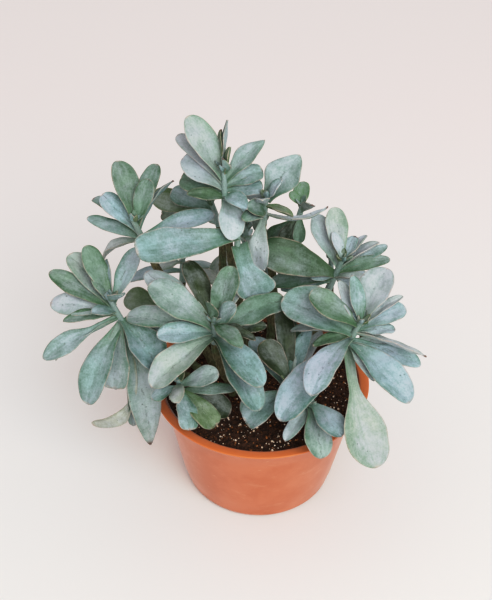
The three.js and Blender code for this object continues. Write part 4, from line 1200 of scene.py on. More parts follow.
    def _edged(self, bench: Bench, fields: Fields, colour: Socket) -> Socket:
        """Adds the pink-brown margin, and the brown tip of a dry leaf.

        Args:
            bench: The material's bench.
            fields: What it reads.
            colour: The colour so far.

        Returns:
            The finished colour.
        """
        rim = bench.maths("MAXIMUM", bench.ease(fields["side"], *self.rim_band),
                          bench.ease(fields["along"], *self.end_band))
        rim = bench.times(rim, bench.add_part(fields["blotches"], *self.rim_share))
        colour = bench.mix(rim, colour, paint(self.margin))
        browned = bench.times(bench.ease(fields["along"], *self.tip_band),
                              bench.ease(fields["seed"], *self.dry_seeds))
        return bench.mix(bench.times(browned, self.tip_share), colour, paint(self.tip))


@dataclass(frozen=True)
class BarkFinish:
    """Green-brown stems with fine lengthwise cracks and darker scars."""

    light: str = "77714F"
    dark: str = "3C3624"
    green: str = "5D6C46"
    stretch: Place = (1.0, 1.0, 0.3)
    patches: Mottle = Mottle(70.0, 0.4, 0.6)
    cracks: Mottle = Mottle(620.0, 0.42, 0.58)
    cracks_share: float = 0.6
    roughness: Span = (0.6, 0.9)
    relief: Span = (0.8, 0.7)

    def build(self, patterns: Patterns) -> Material:
        """Makes the material.

        Args:
            patterns: The shared groups.

        Returns:
            The material.
        """
        bench, shader = new_material("stem_bark")
        where = bench.node("TexCoord").outputs["Object"]
        stretched = bench.node("Mapping", {"Vector": where, "Scale": self.stretch}).outputs[0]
        patches, _ = patterns.place(bench, where, self.patches)
        cracks, height = patterns.place(bench, stretched, self.cracks)
        colour = bench.mix(patches, paint(self.light), paint(self.green))
        colour = bench.mix(bench.times(cracks, self.cracks_share), colour, paint(self.dark))
        rough = bench.ease(height, *HEIGHT_RANGE, *self.roughness)
        return dress(bench, shader, colour, rough, height, self.relief)


@dataclass(frozen=True)
class PotFinish:
    """Terracotta-coloured plastic: satin, faintly mottled and scuffed, and on the lip's top a deeper orange,
    painted lighter than the wall to offset the shade of the leaves above it.
    """

    wall: str = "C37754"
    warm: str = "B96C47"
    # Partly painted light: a deeper orange for the lip's top, made lighter than the wall to offset the shade
    # that the leaves cast there.
    lip: str = "D47D48"
    scuff: str = "DCA98E"
    # Colour that the pot darkens towards at the bottom.
    stain: str = "7A3D22"
    haze: float = 0.3
    haze_spread: float = 0.35
    lip_level: float = 113.7
    lip_blend: float = 0.6
    stain_band: Span = (4.0, 0.5)
    stain_share: float = 0.35
    stretch: Place = (1.0, 1.0, 3.2)
    clouds: Mottle = Mottle(26.0, 0.35, 0.65)
    fine: Mottle = Mottle(420.0, 0.35, 0.65)
    rubs: Mottle = Mottle(46.0, 0.57, 0.72)
    nicks: Specks = Specks(150.0, 0.3, 0.05)
    rubs_share: float = 0.2
    nicks_share: float = 0.4
    roughness: Span = (0.3, 0.4)
    worn_roughness: float = 0.15
    relief: Span = (0.12, 0.25)

    def build(self, patterns: Patterns) -> Material:
        """Makes the material.

        Args:
            patterns: The shared groups.

        Returns:
            The material.
        """
        bench, shader = new_material("pot_plastic")
        where = bench.node("TexCoord").outputs["Object"]
        height = bench.node("SeparateXYZ", {0: where}).outputs[2]
        lying = bench.node("Mapping", {"Vector": where, "Scale": self.stretch}).outputs[0]
        clouds, clouds_height = patterns.place(bench, where, self.clouds)
        rubs, _ = patterns.place(bench, lying, self.rubs)
        nicks, = patterns.place(bench, lying, self.nicks)
        worn = bench.add_part(rubs, self.rubs_share, bench.times(nicks, self.nicks_share), clamp=True)
        colour = bench.mix(clouds, paint(self.wall), paint(self.warm))
        colour = bench.mix(worn, colour, paint(self.scuff))
        # Painted light on the lip's top: a deeper orange that is lighter than the wall, against the leaves'
        # shade.
        level = self.lip_level * MM
        colour = bench.mix(bench.ease(height, level, level + self.lip_blend * MM), colour, paint(self.lip))
        # Darker towards the bottom of the pot, over its lowest 4 mm.
        dry, foot_end = (place * MM for place in self.stain_band)
        darkened_foot = bench.times(bench.ease(height, dry, foot_end), self.stain_share)
        colour = bench.mix(darkened_foot, colour, paint(self.stain))
        rough = bench.ease(clouds_height, *HEIGHT_RANGE, *self.roughness)
        rough = bench.add_part(worn, self.worn_roughness, rough)
        shader.inputs["Sheen Weight"].default_value = self.haze
        shader.inputs["Sheen Roughness"].default_value = self.haze_spread
        _, fine_height = patterns.place(bench, where, self.fine)
        return dress(bench, shader, colour, rough, fine_height, self.relief)


@dataclass(frozen=True)
class EarthFinish:
    """Crumbs, grains and soil: two mottled colours over a rough, pitted surface."""

    name: str
    light: str
    dark: str
    scale: float
    roughness: float = 0.95
    depth: float = 0.8
    strength: float = 0.8
    finer: float = 4.0
    fine_share: float = 0.4
    coarse_share: float = 0.6
    smoother: float = 0.1

    def build(self, patterns: Patterns) -> Material:
        """Makes the material.

        Args:
            patterns: The shared groups.

        Returns:
            The material.
        """
        bench, shader = new_material(self.name)
        where = bench.node("TexCoord").outputs["Object"]
        coarse, _ = patterns.place(bench, where, Mottle(self.scale))
        fine, height = patterns.place(bench, where, Mottle(self.finer * self.scale))
        share = bench.add_part(fine, self.fine_share, bench.times(coarse, self.coarse_share))
        colour = bench.mix(share, paint(self.dark), paint(self.light))
        rough = bench.ease(height, *HEIGHT_RANGE, self.roughness - self.smoother, self.roughness)
        return dress(bench, shader, colour, rough, height, (self.depth, self.strength))


# ------------------------------ leaves
@dataclass
class LeafBlank:
    """A flat pad with a rounded rim, modelled once and then copied and bent into every leaf.

    The pad runs from -1 to 1 along X, from root to tip, and along Y, from margin to margin. Waves are radians
    over the blade.
    """

    stations: int = 24
    cells: int = 10
    half_depth: float = 0.04
    thickness: float = 3.4
    full_width: float = 26.0
    narrow_thickness: float = 0.55
    margin_thickness: float = 0.3
    unevenness: float = 0.035
    lopsidedness: float = 0.12
    uneven_waves: Span = (8.0, 19.0)
    uneven_start: Span = (0.15, 0.4)
    fold: float = 0.4
    cup_power: float = 1.7
    ripple_waves: float = 11.0
    ripple_shift: float = 2.0
    channel: float = 0.3
    channel_floor: float = 0.3
    channel_end: float = 0.55
    channel_power: float = 1.4
    swell: float = 0.36
    swell_start: Span = (0.1, 0.4)
    swell_lengths: Span = (5.5, 3.1)
    swell_slants: Span = (2.2, -3.4)
    plump_power: float = 2.6
    tip_thinning: float = 0.55
    thin_start: Span = (0.8, 1)
    tip_start: float = 0.75
    twist: float = 3.0
    scallop_waves: float = 8.5
    scallop_start: Span = (0.7, 1)
    most_phase: float = 6.0
    dry_seed: float = 0.9
    shoulder: float = 0.9
    narrowest: float = 0.04
    rim_width: float = 0.96
    lightness: Span = (0.93, 1.07)
    warmth: float = 0.03

    def __post_init__(self) -> None:
        """Models the pad: a grid given depth, with its rim rounded."""
        deselect_all()
        bpy.ops.mesh.primitive_grid_add(x_subdivisions=self.stations, y_subdivisions=self.cells, size=2)
        self.pad = named("leaf_pad")
        modify(self.pad, "SOLIDIFY", thickness=2 * self.half_depth, offset=0)
        modify(self.pad, "BEVEL", width=self.rim_width * self.half_depth, segments=2, limit_method="ANGLE")
        activate(self.pad)
        bpy.ops.object.shade_smooth()
        mesh = self.pad.data
        mesh.uv_layers.active.name = "blade"
        grid = coordinates(mesh)
        self.run = (grid[:, 0] + 1) / 2
        self.side = grid[:, 1]
        self.face = grid[:, 2] / self.half_depth
        self.margin = np.abs(self.side)
        self.corners = np.empty(len(mesh.loops), np.int32)
        mesh.loops.foreach_get("vertex_index", self.corners)

    def shape(self, leaf: Leaf, root: Vector, name: str, draw: random.Random) -> Item:
        """Copies the pad and bends it into one leaf.

        Args:
            leaf: The leaf's aim, size, form and finish.
            root: Where it grows from, in millimetres.
            name: Name of the new object.
            draw: Source of its small irregularities.

        Returns:
            The leaf, in place.
        """
        outline = leaf.form.value
        along, across, up = blade_axes(leaf.azimuth, leaf.rise, leaf.roll)
        place = self._stations(outline)
        bow = 4 * place * (1 - place)
        phase = draw.uniform(0, self.most_phase)
        half = leaf.width / 2 * self._half_width(outline, place)
        half = half * (1 + self._unevenness(place, phase))
        half = half * (1 + draw.uniform(-self.lopsidedness, self.lopsidedness) * self.side * bow)
        lift = self._cup(outline, place, half)
        lift += half * draw.uniform(0, self.fold) * (self.margin - 0.5)
        for length, slant, turns in zip(self.swell_lengths, self.swell_slants, (1, 2)):
            wave = np.sin(leaf.length * place / length + slant * self.side + turns * phase)
            lift += self.swell * wave * smooth(place, *self.swell_start)
        twist = np.radians(draw.uniform(-self.twist, self.twist)) * place
        notches = 0.5 + 0.5 * np.sin(self.scallop_waves * self.side + phase)
        reach = leaf.length * place
        reach -= leaf.length * outline.scallop * notches * smooth(place, *self.scallop_start)
        tip_turn = np.clip((place - self.tip_start) / (1 - self.tip_start), 0, 1) ** 2

        sideways = self.side * half
        offset_across = sideways * np.cos(twist) + leaf.length * leaf.sway * bow
        offset_up = sideways * np.sin(twist) + lift + self.face * self._depth(place, half)
        offset_up += leaf.length * (leaf.arch * bow + outline.curl * tip_turn)
        points = np.array(root) + np.outer(reach, along) + np.outer(offset_across, across)
        points += np.outer(offset_up, up)

        made = copy_of(self.pad, name)
        place_vertices(made.data, points)
        blade = np.stack([place, (self.side + 1) / 2], 1)[self.corners]
        made.data.uv_layers["blade"].data.foreach_set("uv", blade.astype(np.float32).ravel())
        seed = draw.uniform(self.dry_seed, 1) if leaf.dry else draw.uniform(0, self.dry_seed)
        self.colour(made.data, leaf.tone.value, seed, draw)
        return made

    def _unevenness(self, place: Array, phase: float) -> Array:
        """How much wider the blade is at each place, as a part of its width.

        Args:
            place: Places along the blade, from 0 to 1.
            phase: The leaf's own shift of its waves.

        Returns:
            The part at each place.
        """
        slow, quick = self.uneven_waves
        waves = np.sin(slow * place + phase + 2 * self.side)
        waves += 0.5 * np.sin(quick * place + 3 * phase - self.side)
        return self.unevenness * waves * smooth(place, *self.uneven_start) * self.margin

    def _cup(self, outline: Outline, place: Array, half: Array) -> Array:
        """How high the blade's cupped and rippled section stands, with its channel at the root.

        Args:
            outline: The blade's form.
            place: Places along the blade, from 0 to 1.
            half: Half the width at each place.

        Returns:
            The height at each place, in millimetres.
        """
        waves = np.sin(self.ripple_waves * place + np.where(self.side > 0, self.ripple_shift, 0))
        rise = (outline.cup + outline.wave * waves) * self.margin**self.cup_power
        channel = self.channel * (1 - smooth(place, 0.0, self.channel_end))
        return half * (rise + channel * self.margin**self.channel_power - self.channel_floor * channel)

    def _depth(self, place: Array, half: Array) -> Array:
        """Half the blade's thickness: less in a narrow blade, at the margins and at the tip.

        Args:
            place: Places along the blade, from 0 to 1.
            half: Half the width at each place.

        Returns:
            The half thickness at each place, in millimetres.
        """
        breadth = np.minimum(1, 2 * half / self.full_width)
        depth = self.thickness / 2 * (self.narrow_thickness + (1 - self.narrow_thickness) * breadth)
        depth *= 1 - (1 - self.margin_thickness) * self.margin**self.plump_power
        return depth * (1 - self.tip_thinning * smooth(place, *self.thin_start))

    def _stations(self, outline: Outline) -> Array:
        """Spreads the pad's rows along the blade, closer together towards the rounded tip.

        Args:
            outline: The blade's form.

        Returns:
            The place of each vertex along the blade, from 0 to 1.
        """
        towards_tip = np.sin(math.pi / 2 * np.clip(2 * self.run - 1, 0, 1))
        return np.where(self.run < 0.5, 2 * self.run * outline.widest,
                        outline.widest + (1 - outline.widest) * towards_tip)

    def _half_width(self, outline: Outline, place: Array) -> Array:
        """The blade's width.

        Args:
            outline: The blade's form.
            place: Places along the blade, from 0 to 1.

        Returns:
            The width at each place, as a part of the broadest.
        """
        rise = np.clip((place - outline.stalk) / (outline.widest - outline.stalk), 0, 1)
        lower = outline.foot + (1 - outline.foot) * (rise * rise * (3 - 2 * rise)) ** self.shoulder
        fall = np.clip((place - outline.widest) / (1 - outline.widest), 0, 1)
        upper = np.maximum(1 - fall**outline.tip, 0) ** (1 / outline.tip)
        return np.where(place < outline.widest, lower, np.maximum(upper, self.narrowest))

    def colour(self, mesh: bpy.types.Mesh, wax: Wax, seed: float, draw: random.Random) -> None:
        """Writes a leaf's own colours to its mesh, slightly varied, with its wax cover and seed as alphas.

        Args:
            mesh: The leaf's mesh.
            wax: Its colours and their cover.
            seed: From 0 to 1, and over 0.9 for a dry tip.
            draw: Source of the variation.
        """
        vary = draw.uniform(*self.lightness)
        warmth = draw.uniform(-self.warmth, self.warmth)
        tint = np.array([vary + warmth, vary, vary - warmth])
        for layer, code, alpha in (("powder", wax.powder, wax.cover), ("flesh", wax.flesh, seed)):
            colour = np.append(np.array(paint(code)[:3]) * tint, alpha)
            attribute = mesh.attributes.new(layer, "FLOAT_COLOR", "POINT")
            attribute.data.foreach_set("color", np.tile(colour, len(mesh.vertices)).astype(np.float32))


@dataclass
class LeafyHeads:
    """The heads: each is one piece, with leaves round a short green crown and small new ones at its top."""

    patterns: Patterns
    rear_crown: Place = (90, 65, 24)
    crown_place: Span = (0.3, 0.5)
    rear_rise: Span = (-20, 55)
    rear_taper: float = 0.4
    rear_spread: float = 0.12
    rear_width: float = 0.36
    rear_arch: float = 0.08
    rear_short: float = 3
    rear_forms: tuple[Form, ...] = (Form.SPOON, Form.PADDLE, Form.OVAL)
    rear_tones: tuple[Tone, ...] = (Tone.TEAL, Tone.BLUE, Tone.GREEN, Tone.GREY, Tone.MIST)
    seed_step: int = 31
    tone_step: int = 97
    root_offset: float = 1.2
    foot_radius: float = 3.4
    top_radius: float = 2.2
    top: float = 2.0
    crown_sides: int = 12
    crown_step: float = 2.5
    new_leaves: int = 6
    new_sizes: Span = (8, 12)
    new_width: float = 0.5
    new_depth: float = 1.0
    new_rise: Span = (35, 78)
    new_roll: float = 15
    new_arch: float = -0.08
    new_tones: tuple[Tone, ...] = (Tone.OLIVE, Tone.GREEN, Tone.TEAL)
    crown_seed: float = 0.5

    def build(self) -> dict[str, Head]:
        """Models and dresses every head.

        Returns:
            The heads by name.
        """
        rear = [self._rear_head(k, *row) for k, row in enumerate(REAR_HEADS)]
        heads = {head.name: head for head in [*HEADS, *rear]}
        finished = LeafFinish().build(self.patterns)
        blank = LeafBlank()
        for head in heads.values():
            piece = self._model(head, blank)
            finish(piece, finished, replaces=head.name)
        bpy.data.objects.remove(blank.pad)
        return heads

    def _rear_head(self, index: int, name: str, at: Place, count: int, start: float, longest: float) -> Head:
        """A head on the far side, whose leaves follow a rule.

        Args:
            index: Its number among such heads.
            name: Its node in the frame.
            at: The middle of its crown.
            count: Number of its leaves.
            start: Azimuth of the first leaf.
            longest: Length of the longest leaf.

        Returns:
            The head.
        """
        leaves = []
        for k in range(count):
            height = k / (count - 1)
            draw = self._chance(index * self.seed_step + k + 1)
            length = round(longest * (1 - self.rear_taper * height - self.rear_spread * draw))
            length -= self.rear_short
            low, high = self.rear_rise
            form = self.rear_forms[int(len(self.rear_forms) * draw)]
            tone = self.rear_tones[int(len(self.rear_tones) * self._chance(self.tone_step * draw))]
            leaves.append(Leaf(start + k * GOLDEN_ANGLE, low + (high - low) * height, length,
                               round(self.rear_width * length), form, tone, 0, self.rear_arch))
        return Head(name, at, self.rear_crown, leaves)

    @staticmethod
    def _chance(seed: float) -> float:
        """A repeatable number from 0 to 1."""
        value = math.sin(seed * CHANCE_TURN) * CHANCE_SCALE
        return value - math.floor(value)

    def _model(self, head: Head, blank: LeafBlank) -> Item:
        """Joins a head's crown, leaves and new leaves.

        Args:
            head: The head.
            blank: The pad that its leaves are made from.

        Returns:
            The piece.
        """
        draw = random.Random(head.name)
        length = head.crown[2]
        parts = []
        for k, listed in enumerate(head.leaves):
            root = head.point(length * ((k + 0.5) / len(head.leaves) - 0.5))
            leaf = VIEW.leaf(np.array(root, float), listed) if isinstance(listed, Seen) else listed
            root += direction(leaf.azimuth, 0) * self.root_offset
            parts.append(blank.shape(leaf, root, f"{head.name}_leaf", draw))
        for k in range(min(self.new_leaves, len(head.leaves) // 2)):
            size = draw.uniform(*self.new_sizes)
            tone = draw.choice(self.new_tones)
            leaf = Leaf(head.crown[0] + k * GOLDEN_ANGLE, draw.uniform(*self.new_rise), size,
                        self.new_width * size, Form.BUD, tone, draw.uniform(-self.new_roll, self.new_roll),
                        self.new_arch)
            parts.append(blank.shape(leaf, head.point(length / 2 - self.new_depth), f"{head.name}_new", draw))
        parts.append(self._crown(head, blank, draw))
        return joined(f"leaves_{head.name}", parts)

    def _crown(self, head: Head, blank: LeafBlank, draw: random.Random) -> Item:
        """The green top of the stem that a head's leaves grow from.

        Args:
            head: The head.
            blank: The pad, which colours it as a leaf.
            draw: Source of its small differences in colour.

        Returns:
            The crown.
        """
        ends = [head.point(head.foot), head.point(head.crown[2] / 2 + self.top)]
        crown = Bar(f"{head.name}_crown", sides=self.crown_sides, step=self.crown_step).along(
            ends, lambda part: self.foot_radius + (self.top_radius - self.foot_radius) * part)
        crown.data.uv_layers.active.name = "blade"
        places = np.tile(self.crown_place, len(crown.data.loops))
        crown.data.uv_layers["blade"].data.foreach_set("uv", places.astype(np.float32))
        blank.colour(crown.data, Tone.SAGE.value, self.crown_seed, draw)
        return crown


# ------------------------------ stems
def between(wanted: Array, knots: Array, rows: Array) -> Array:
    """The rows in between those at the knots."""
    return np.stack([np.interp(wanted, knots, rows[:, k]) for k in range(3)], 1)


@dataclass
class Bar:
    """A round bar: a cylinder cut into short lengths and then bent along a route."""

    name: str
    sides: int = 24
    step: float = 1.4
    seam_side: Place = (0.2, 1.0, 0.1)
    smooth_angle: float = 60.0

    def along(self, places: list[Vector], radius: Callable[[float], float]) -> Item:
        """Models the bar.

        Args:
            places: Evenly spaced places along its middle, in millimetres.
            radius: Its radius at a part of its length, from 0 to 1.

        Returns:
            The bar.
        """
        line = np.array(places, float)
        length = float(np.linalg.norm(np.diff(line, axis=0), axis=1).sum())
        cuts = max(2, round(length / self.step))
        deselect_all()
        bpy.ops.mesh.primitive_cylinder_add(vertices=self.sides, radius=1, depth=1, location=(0, 0, 0.5))
        bar = named(self.name)
        settle(bar)
        self._divide(bar, cuts)
        grid = coordinates(bar.data)
        part = np.clip(grid[:, 2], 0, 1)
        knots = np.linspace(0, 1, len(line))
        middle = between(part, knots, line)
        tangent = between(part, knots, np.gradient(line, axis=0))
        tangent /= np.linalg.norm(tangent, axis=1, keepdims=True)
        across = np.cross(self.seam_side, tangent)
        across /= np.linalg.norm(across, axis=1, keepdims=True)
        up = np.cross(tangent, across)
        reach = np.array([radius(float(p)) for p in part])[:, None]
        place_vertices(bar.data, middle + reach * (grid[:, :1] * across + grid[:, 1:2] * up))
        smooth_faces(bar, self.smooth_angle)
        return bar

    @staticmethod
    def _divide(bar: Item, cuts: int) -> None:
        """Cuts the cylinder's side into equal lengths. With more than edges selected, it is cut round too.

        Args:
            bar: The cylinder.
            cuts: Number of lengths.
        """
        activate(bar)
        bpy.ops.object.mode_set(mode="EDIT")
        bpy.ops.mesh.select_mode(type="EDGE")
        bpy.ops.mesh.select_all(action="DESELECT")
        bpy.ops.object.mode_set(mode="OBJECT")
        mesh = bar.data
        for edge in mesh.edges:
            low, high = (mesh.vertices[v].co.z for v in edge.vertices)
            edge.select = abs(high - low) > 0.5
        bpy.ops.object.mode_set(mode="EDIT")
        bpy.ops.mesh.subdivide(number_cuts=cuts - 1)
        bpy.ops.mesh.select_mode(type="VERT")
        bpy.ops.object.mode_set(mode="OBJECT")


@dataclass
class Stems:
    """The woody stems, from inside the soil up to their heads."""

    patterns: Patterns
    foot_radius: float = 4.4
    top_radius: float = 3.4
    bottom: float = 64.0
    knee: float = 118.0
    neck: float = 8.0
    gap: float = 0.3
    scar_step: float = 9.0
    scar_height: float = 0.5
    scar_width: float = 0.09
    bark_depth: float = 0.15
    curve_steps: int = 24
    least_gap: float = 1e-4
    line_places: int = 80
    bumps: tuple[Span, ...] = ((0.16, 7.0), (0.07, 2.4))
    bumps_stretch: Place = (1.0, 1.0, 0.4)
    seeds: int = 1000

    def build(self, heads: dict[str, Head]) -> None:
        """Models and dresses every stem.

        Args:
            heads: The heads by name, which the stems end under.
        """
        bark = BarkFinish().build(self.patterns)
        for end, places in STEMS.items():
            name = f"stem_{end}"
            draw = random.Random(name)
            routes = [(end, places)] + [(head, line) for stem, head, line in BRANCHES if stem == end]
            bars = [self._bar(f"{name}_{k}", heads[f"head_{head}"], line, draw)
                    for k, (head, line) in enumerate(routes)]
            piece = joined(f"bark_{name}", bars)
            self._roughen(piece, draw.randrange(self.seeds))
            finish(piece, bark, replaces=name)

    def _bar(self, name: str, head: Head, places: list[Place], draw: random.Random) -> Item:
        """One branch of a stem, with swollen rings where old leaves stood.

        Args:
            name: The branch's name.
            head: The head that it ends under.
            places: Its places from the soil up.
            draw: Source of where its rings are.

        Returns:
            The branch.
        """
        x, y, rooted = places[0][0], places[0][1], places[0][2] == 0
        points = [Vector((x, y, max(z, self.knee))) for x, y, z in places]
        points += [head.point(head.foot - self.neck), head.point(head.foot - self.gap)]
        line = self._smooth_line(points)
        if rooted:
            line = self._even([Vector((x, y, self.bottom)), *line])
        foot = self.foot_radius if rooted else self.top_radius
        length = sum((b - a).length for a, b in zip(line, line[1:]))
        shift = draw.uniform(0, 1)
        return Bar(name).along(line, lambda part: self._radius(part, foot, length, shift))

    def _radius(self, part: float, foot: float, length: float, shift: float) -> float:
        """A branch's radius.

        Args:
            part: The part of its length, from 0 to 1.
            foot: Its radius at the foot.
            length: Its length.
            shift: Where its rings start, as a part of their step.

        Returns:
            The radius in millimetres.
        """
        turn = (part * length / self.scar_step + shift) % 1
        ridge = self.scar_height * math.exp(-((turn - 0.5) / self.scar_width) ** 2)
        return foot + (self.top_radius - foot) * part + ridge - self.bark_depth

    def _smooth_line(self, points: list[Vector]) -> list[Vector]:
        """A smooth curve through points.

        Args:
            points: The points.

        Returns:
            Evenly spaced places on it.
        """
        ends = [2 * points[0] - points[1], *points, 2 * points[-1] - points[-2]]
        fine = []
        for k in range(1, len(ends) - 2):
            before, start, end, after = ends[k - 1:k + 3]
            gaps = [max((b - a).length ** 0.5, self.least_gap)
                    for a, b in ((before, start), (start, end), (end, after))]
            leave = ((start - before) / gaps[0] - (end - before) / (gaps[0] + gaps[1])
                     + (end - start) / gaps[1]) * gaps[1]
            arrive = ((end - start) / gaps[1] - (after - start) / (gaps[1] + gaps[2])
                      + (after - end) / gaps[2]) * gaps[1]
            for step in range(self.curve_steps):
                t = step / self.curve_steps
                fine.append(start * (2 * t**3 - 3 * t**2 + 1) + leave * (t**3 - 2 * t**2 + t)
                            + end * (3 * t**2 - 2 * t**3) + arrive * (t**3 - t**2))
        fine.append(points[-1])
        return self._even(fine)

    def _even(self, line: list[Vector]) -> list[Vector]:
        """The same line with evenly spaced places.

        Args:
            line: Places on the line.

        Returns:
            The new places.
        """
        run = np.array(line, float)
        steps = np.concatenate([[0], np.cumsum(np.linalg.norm(np.diff(run, axis=0), axis=1))])
        return [Vector(row) for row in between(np.linspace(0, steps[-1], self.line_places), steps, run)]

    def _roughen(self, piece: Item, seed: int) -> None:
        """Makes the bark slightly uneven.

        Args:
            piece: The stem.
            seed: Seed of its bumps.
        """
        mesh = piece.data
        points = coordinates(mesh) / MM
        normals = np.array([v.normal for v in mesh.vertices])
        (swell, swell_pitch), (crease, crease_pitch) = self.bumps
        height = swell * ripple_noise(points, swell_pitch, seed)
        height += crease * ripple_noise(points * self.bumps_stretch, crease_pitch, seed + 1)
        place_vertices(mesh, points + normals * height[:, None])


# ------------------------------ pot and soil
@dataclass
class Pot:
    """The round pot: a tapered wall with a rounded foot, a collar, a flared lip and drain holes."""

    patterns: Patterns
    height: float = 115.0
    rim_radius: float = 100.0
    lip_width: float = 9.0
    lip_fall: float = 1.2
    lip_edge: float = 2.2
    lip_round: float = 0.7
    lip_turns: tuple[float, ...] = (0.0, 0.5, 1.05, 1.5)
    lip_parts: Place = (0.3, 0.6, 0.85)
    lip_corner: tuple[Span, ...] = ((-0.48, 0.0), (-0.25, 0.35), (0.0, 0.9))
    ledge_width: float = 0.6
    ledge_parts: Place = (0.35, 0.7, 0.93)
    ledge_power: float = 0.8
    flare_depth: float = 5.0
    flare_reach: float = 3.2
    flare_start: float = 0.25
    flare_power: float = 2.2
    collar_depth: float = 11.0
    collar_gap: float = 0.4
    collar_turn: tuple[Span, ...] = ((0.18, 0.1), (1.02, 0.6), (1.2, 1.2))
    wall_start: float = 16.0
    wall_top_radius: float = 90.5
    wall_top_depth: float = 8.0
    base_radius: float = 71.0
    foot_round: float = 5.0
    inner_round: float = 4.0
    inner_start: float = 0.3
    wall: float = 2.2
    floor: float = 3.0
    sides: int = 144
    foot_rings: int = 8
    wall_rings: int = 6
    flare_rings: int = 5
    inner_rings: int = 5
    smooth_angle: float = 48.0
    drain_holes: int = 6
    drain_radius: float = 4.5
    drain_circle: float = 45.0
    drain_sides: int = 24

    def wall_radius(self, height: float) -> float:
        """Radius of the outer wall at a height."""
        slope = (self.wall_top_radius - self.base_radius) / (self.height - self.wall_top_depth)
        return self.base_radius + slope * height

    def profile(self) -> list[Span]:
        """The pot's skin.

        Returns:
            Radius and height of each ring, from its underside over the lip to its floor.
        """
        foot = self._arc((self.base_radius - self.foot_round, self.foot_round), self.foot_round,
                         np.linspace(-math.pi / 2, 0, self.foot_rings))
        return [*foot, *self._outside(), *self._lip(), *self._inside()]

    @staticmethod
    def _arc(centre: Span, radius: float, turns: Iterable[float]) -> list[Span]:
        """Rings on a rounded corner, at turns from straight out."""
        return [(centre[0] + radius * math.cos(turn), centre[1] + radius * math.sin(turn)) for turn in turns]

    @staticmethod
    def _curve(start: Span, end: Span, parts: Iterable[float], out: float = 1.0,
               up: float = 1.0) -> list[Span]:
        """Rings at parts of the way from start to end, with a power outwards and one upwards."""
        return [(start[0] + (end[0] - start[0]) * part**out, start[1] + (end[1] - start[1]) * part**up)
                for part in parts]

    def _outside(self) -> list[Span]:
        """The outer part of the skin.

        Returns:
            The rings of the wall, its collar, the flare, and the lip's underside and edge.
        """
        collar = self.height - self.collar_depth
        under = self.height - self.lip_edge
        flare = (self.wall_top_radius + self.flare_reach, self.height - self.flare_depth)
        ledge = (self.rim_radius - self.ledge_width, under)
        top = (self.rim_radius - self.lip_round, self.height - self.lip_round)
        heights = np.linspace(self.wall_start, collar - self.collar_gap, self.wall_rings)
        rings = [(self.wall_radius(height), height) for height in heights]
        rings += [(self.wall_radius(collar) + out, collar + up) for out, up in self.collar_turn]
        parts = np.linspace(self.flare_start, 1, self.flare_rings)
        rings += self._curve(rings[-1], flare, parts, out=self.flare_power)
        rings += self._curve(flare, ledge, self.ledge_parts, up=self.ledge_power)
        rings += [(self.rim_radius + out, under + up) for out, up in self.lip_corner]
        return [*rings, (self.rim_radius, top[1]),
                *self._arc(top, self.lip_round, (*self.lip_turns[1:3], math.pi / 2))]

    def _lip(self) -> list[Span]:
        """The top of the skin.

        Returns:
            The rings of the lip's top and inner edge.
        """
        inner = self.rim_radius - self.lip_width + self.lip_round
        drop = self.height - self.lip_fall
        outer = self.rim_radius - self.lip_round
        top = self._curve((outer, self.height), (inner, drop), self.lip_parts, up=2)
        return top + self._arc((inner, drop - self.lip_round), self.lip_round,
                               [math.pi / 2 + turn for turn in self.lip_turns])

    def _inside(self) -> list[Span]:
        """The inner part of the skin.

        Returns:
            The rings of the inner wall and the floor's rounded edge.
        """
        low = self.floor + self.inner_round
        heights = np.linspace(self.height - self.flare_depth, low, self.wall_rings)
        wall = [(self.wall_radius(height) - self.wall, height) for height in heights]
        return wall + self._arc((wall[-1][0] - self.inner_round, low), self.inner_round,
                                -np.linspace(self.inner_start, math.pi / 2, self.inner_rings))

    def build(self) -> None:
        """Models and dresses the pot."""
        pot = turned("pot_shell", self.profile(), self.sides)
        drills = self._drills()
        modify(pot, "BOOLEAN", object=drills, operation="DIFFERENCE", solver="EXACT")
        bpy.data.objects.remove(drills)
        smooth_faces(pot, self.smooth_angle)
        finish(pot, PotFinish().build(self.patterns), replaces="pot")

    def _drills(self) -> Item:
        """Models the rods that cut the drain holes.

        Returns:
            The rods, as one object.
        """
        rods = []
        for k in range(self.drain_holes):
            turn = 2 * math.pi * (k + 0.5) / self.drain_holes
            place = Vector((math.cos(turn), math.sin(turn), 0)) * self.drain_circle * MM
            place.z = self.floor / 2 * MM
            deselect_all()
            bpy.ops.mesh.primitive_cylinder_add(vertices=self.drain_sides, radius=self.drain_radius * MM,
                                                depth=3 * self.floor * MM, location=place)
            rods.append(named(f"drill_{k}"))
            settle(rods[-1])
        return joined("drills", rods)


def turned(name: str, profile: list[Span], sides: int) -> Item:
    """Turns a closed skin about Z: a disc whose edge is drawn out ring by ring and closed at the end.

    Args:
        name: The new object's name.
        profile: Radius and height of each ring, in millimetres.
        sides: Number of flat stretches in a ring.

    Returns:
        The object.
    """
    radius, height = profile[0]
    deselect_all()
    bpy.ops.mesh.primitive_circle_add(vertices=sides, radius=radius * MM, fill_type="NGON",
                                      location=(0, 0, height * MM))
    made = named(name)
    settle(made)
    pick_outer_edge()
    for wider, higher in profile[1:]:
        bpy.ops.mesh.extrude_edges_move(TRANSFORM_OT_translate={"value": (0, 0, (higher - height) * MM)})
        scale = wider / radius
        bpy.ops.transform.resize(value=(scale, scale, 1), center_override=(0, 0, higher * MM))
        radius, height = wider, higher
    close_skin()
    return made


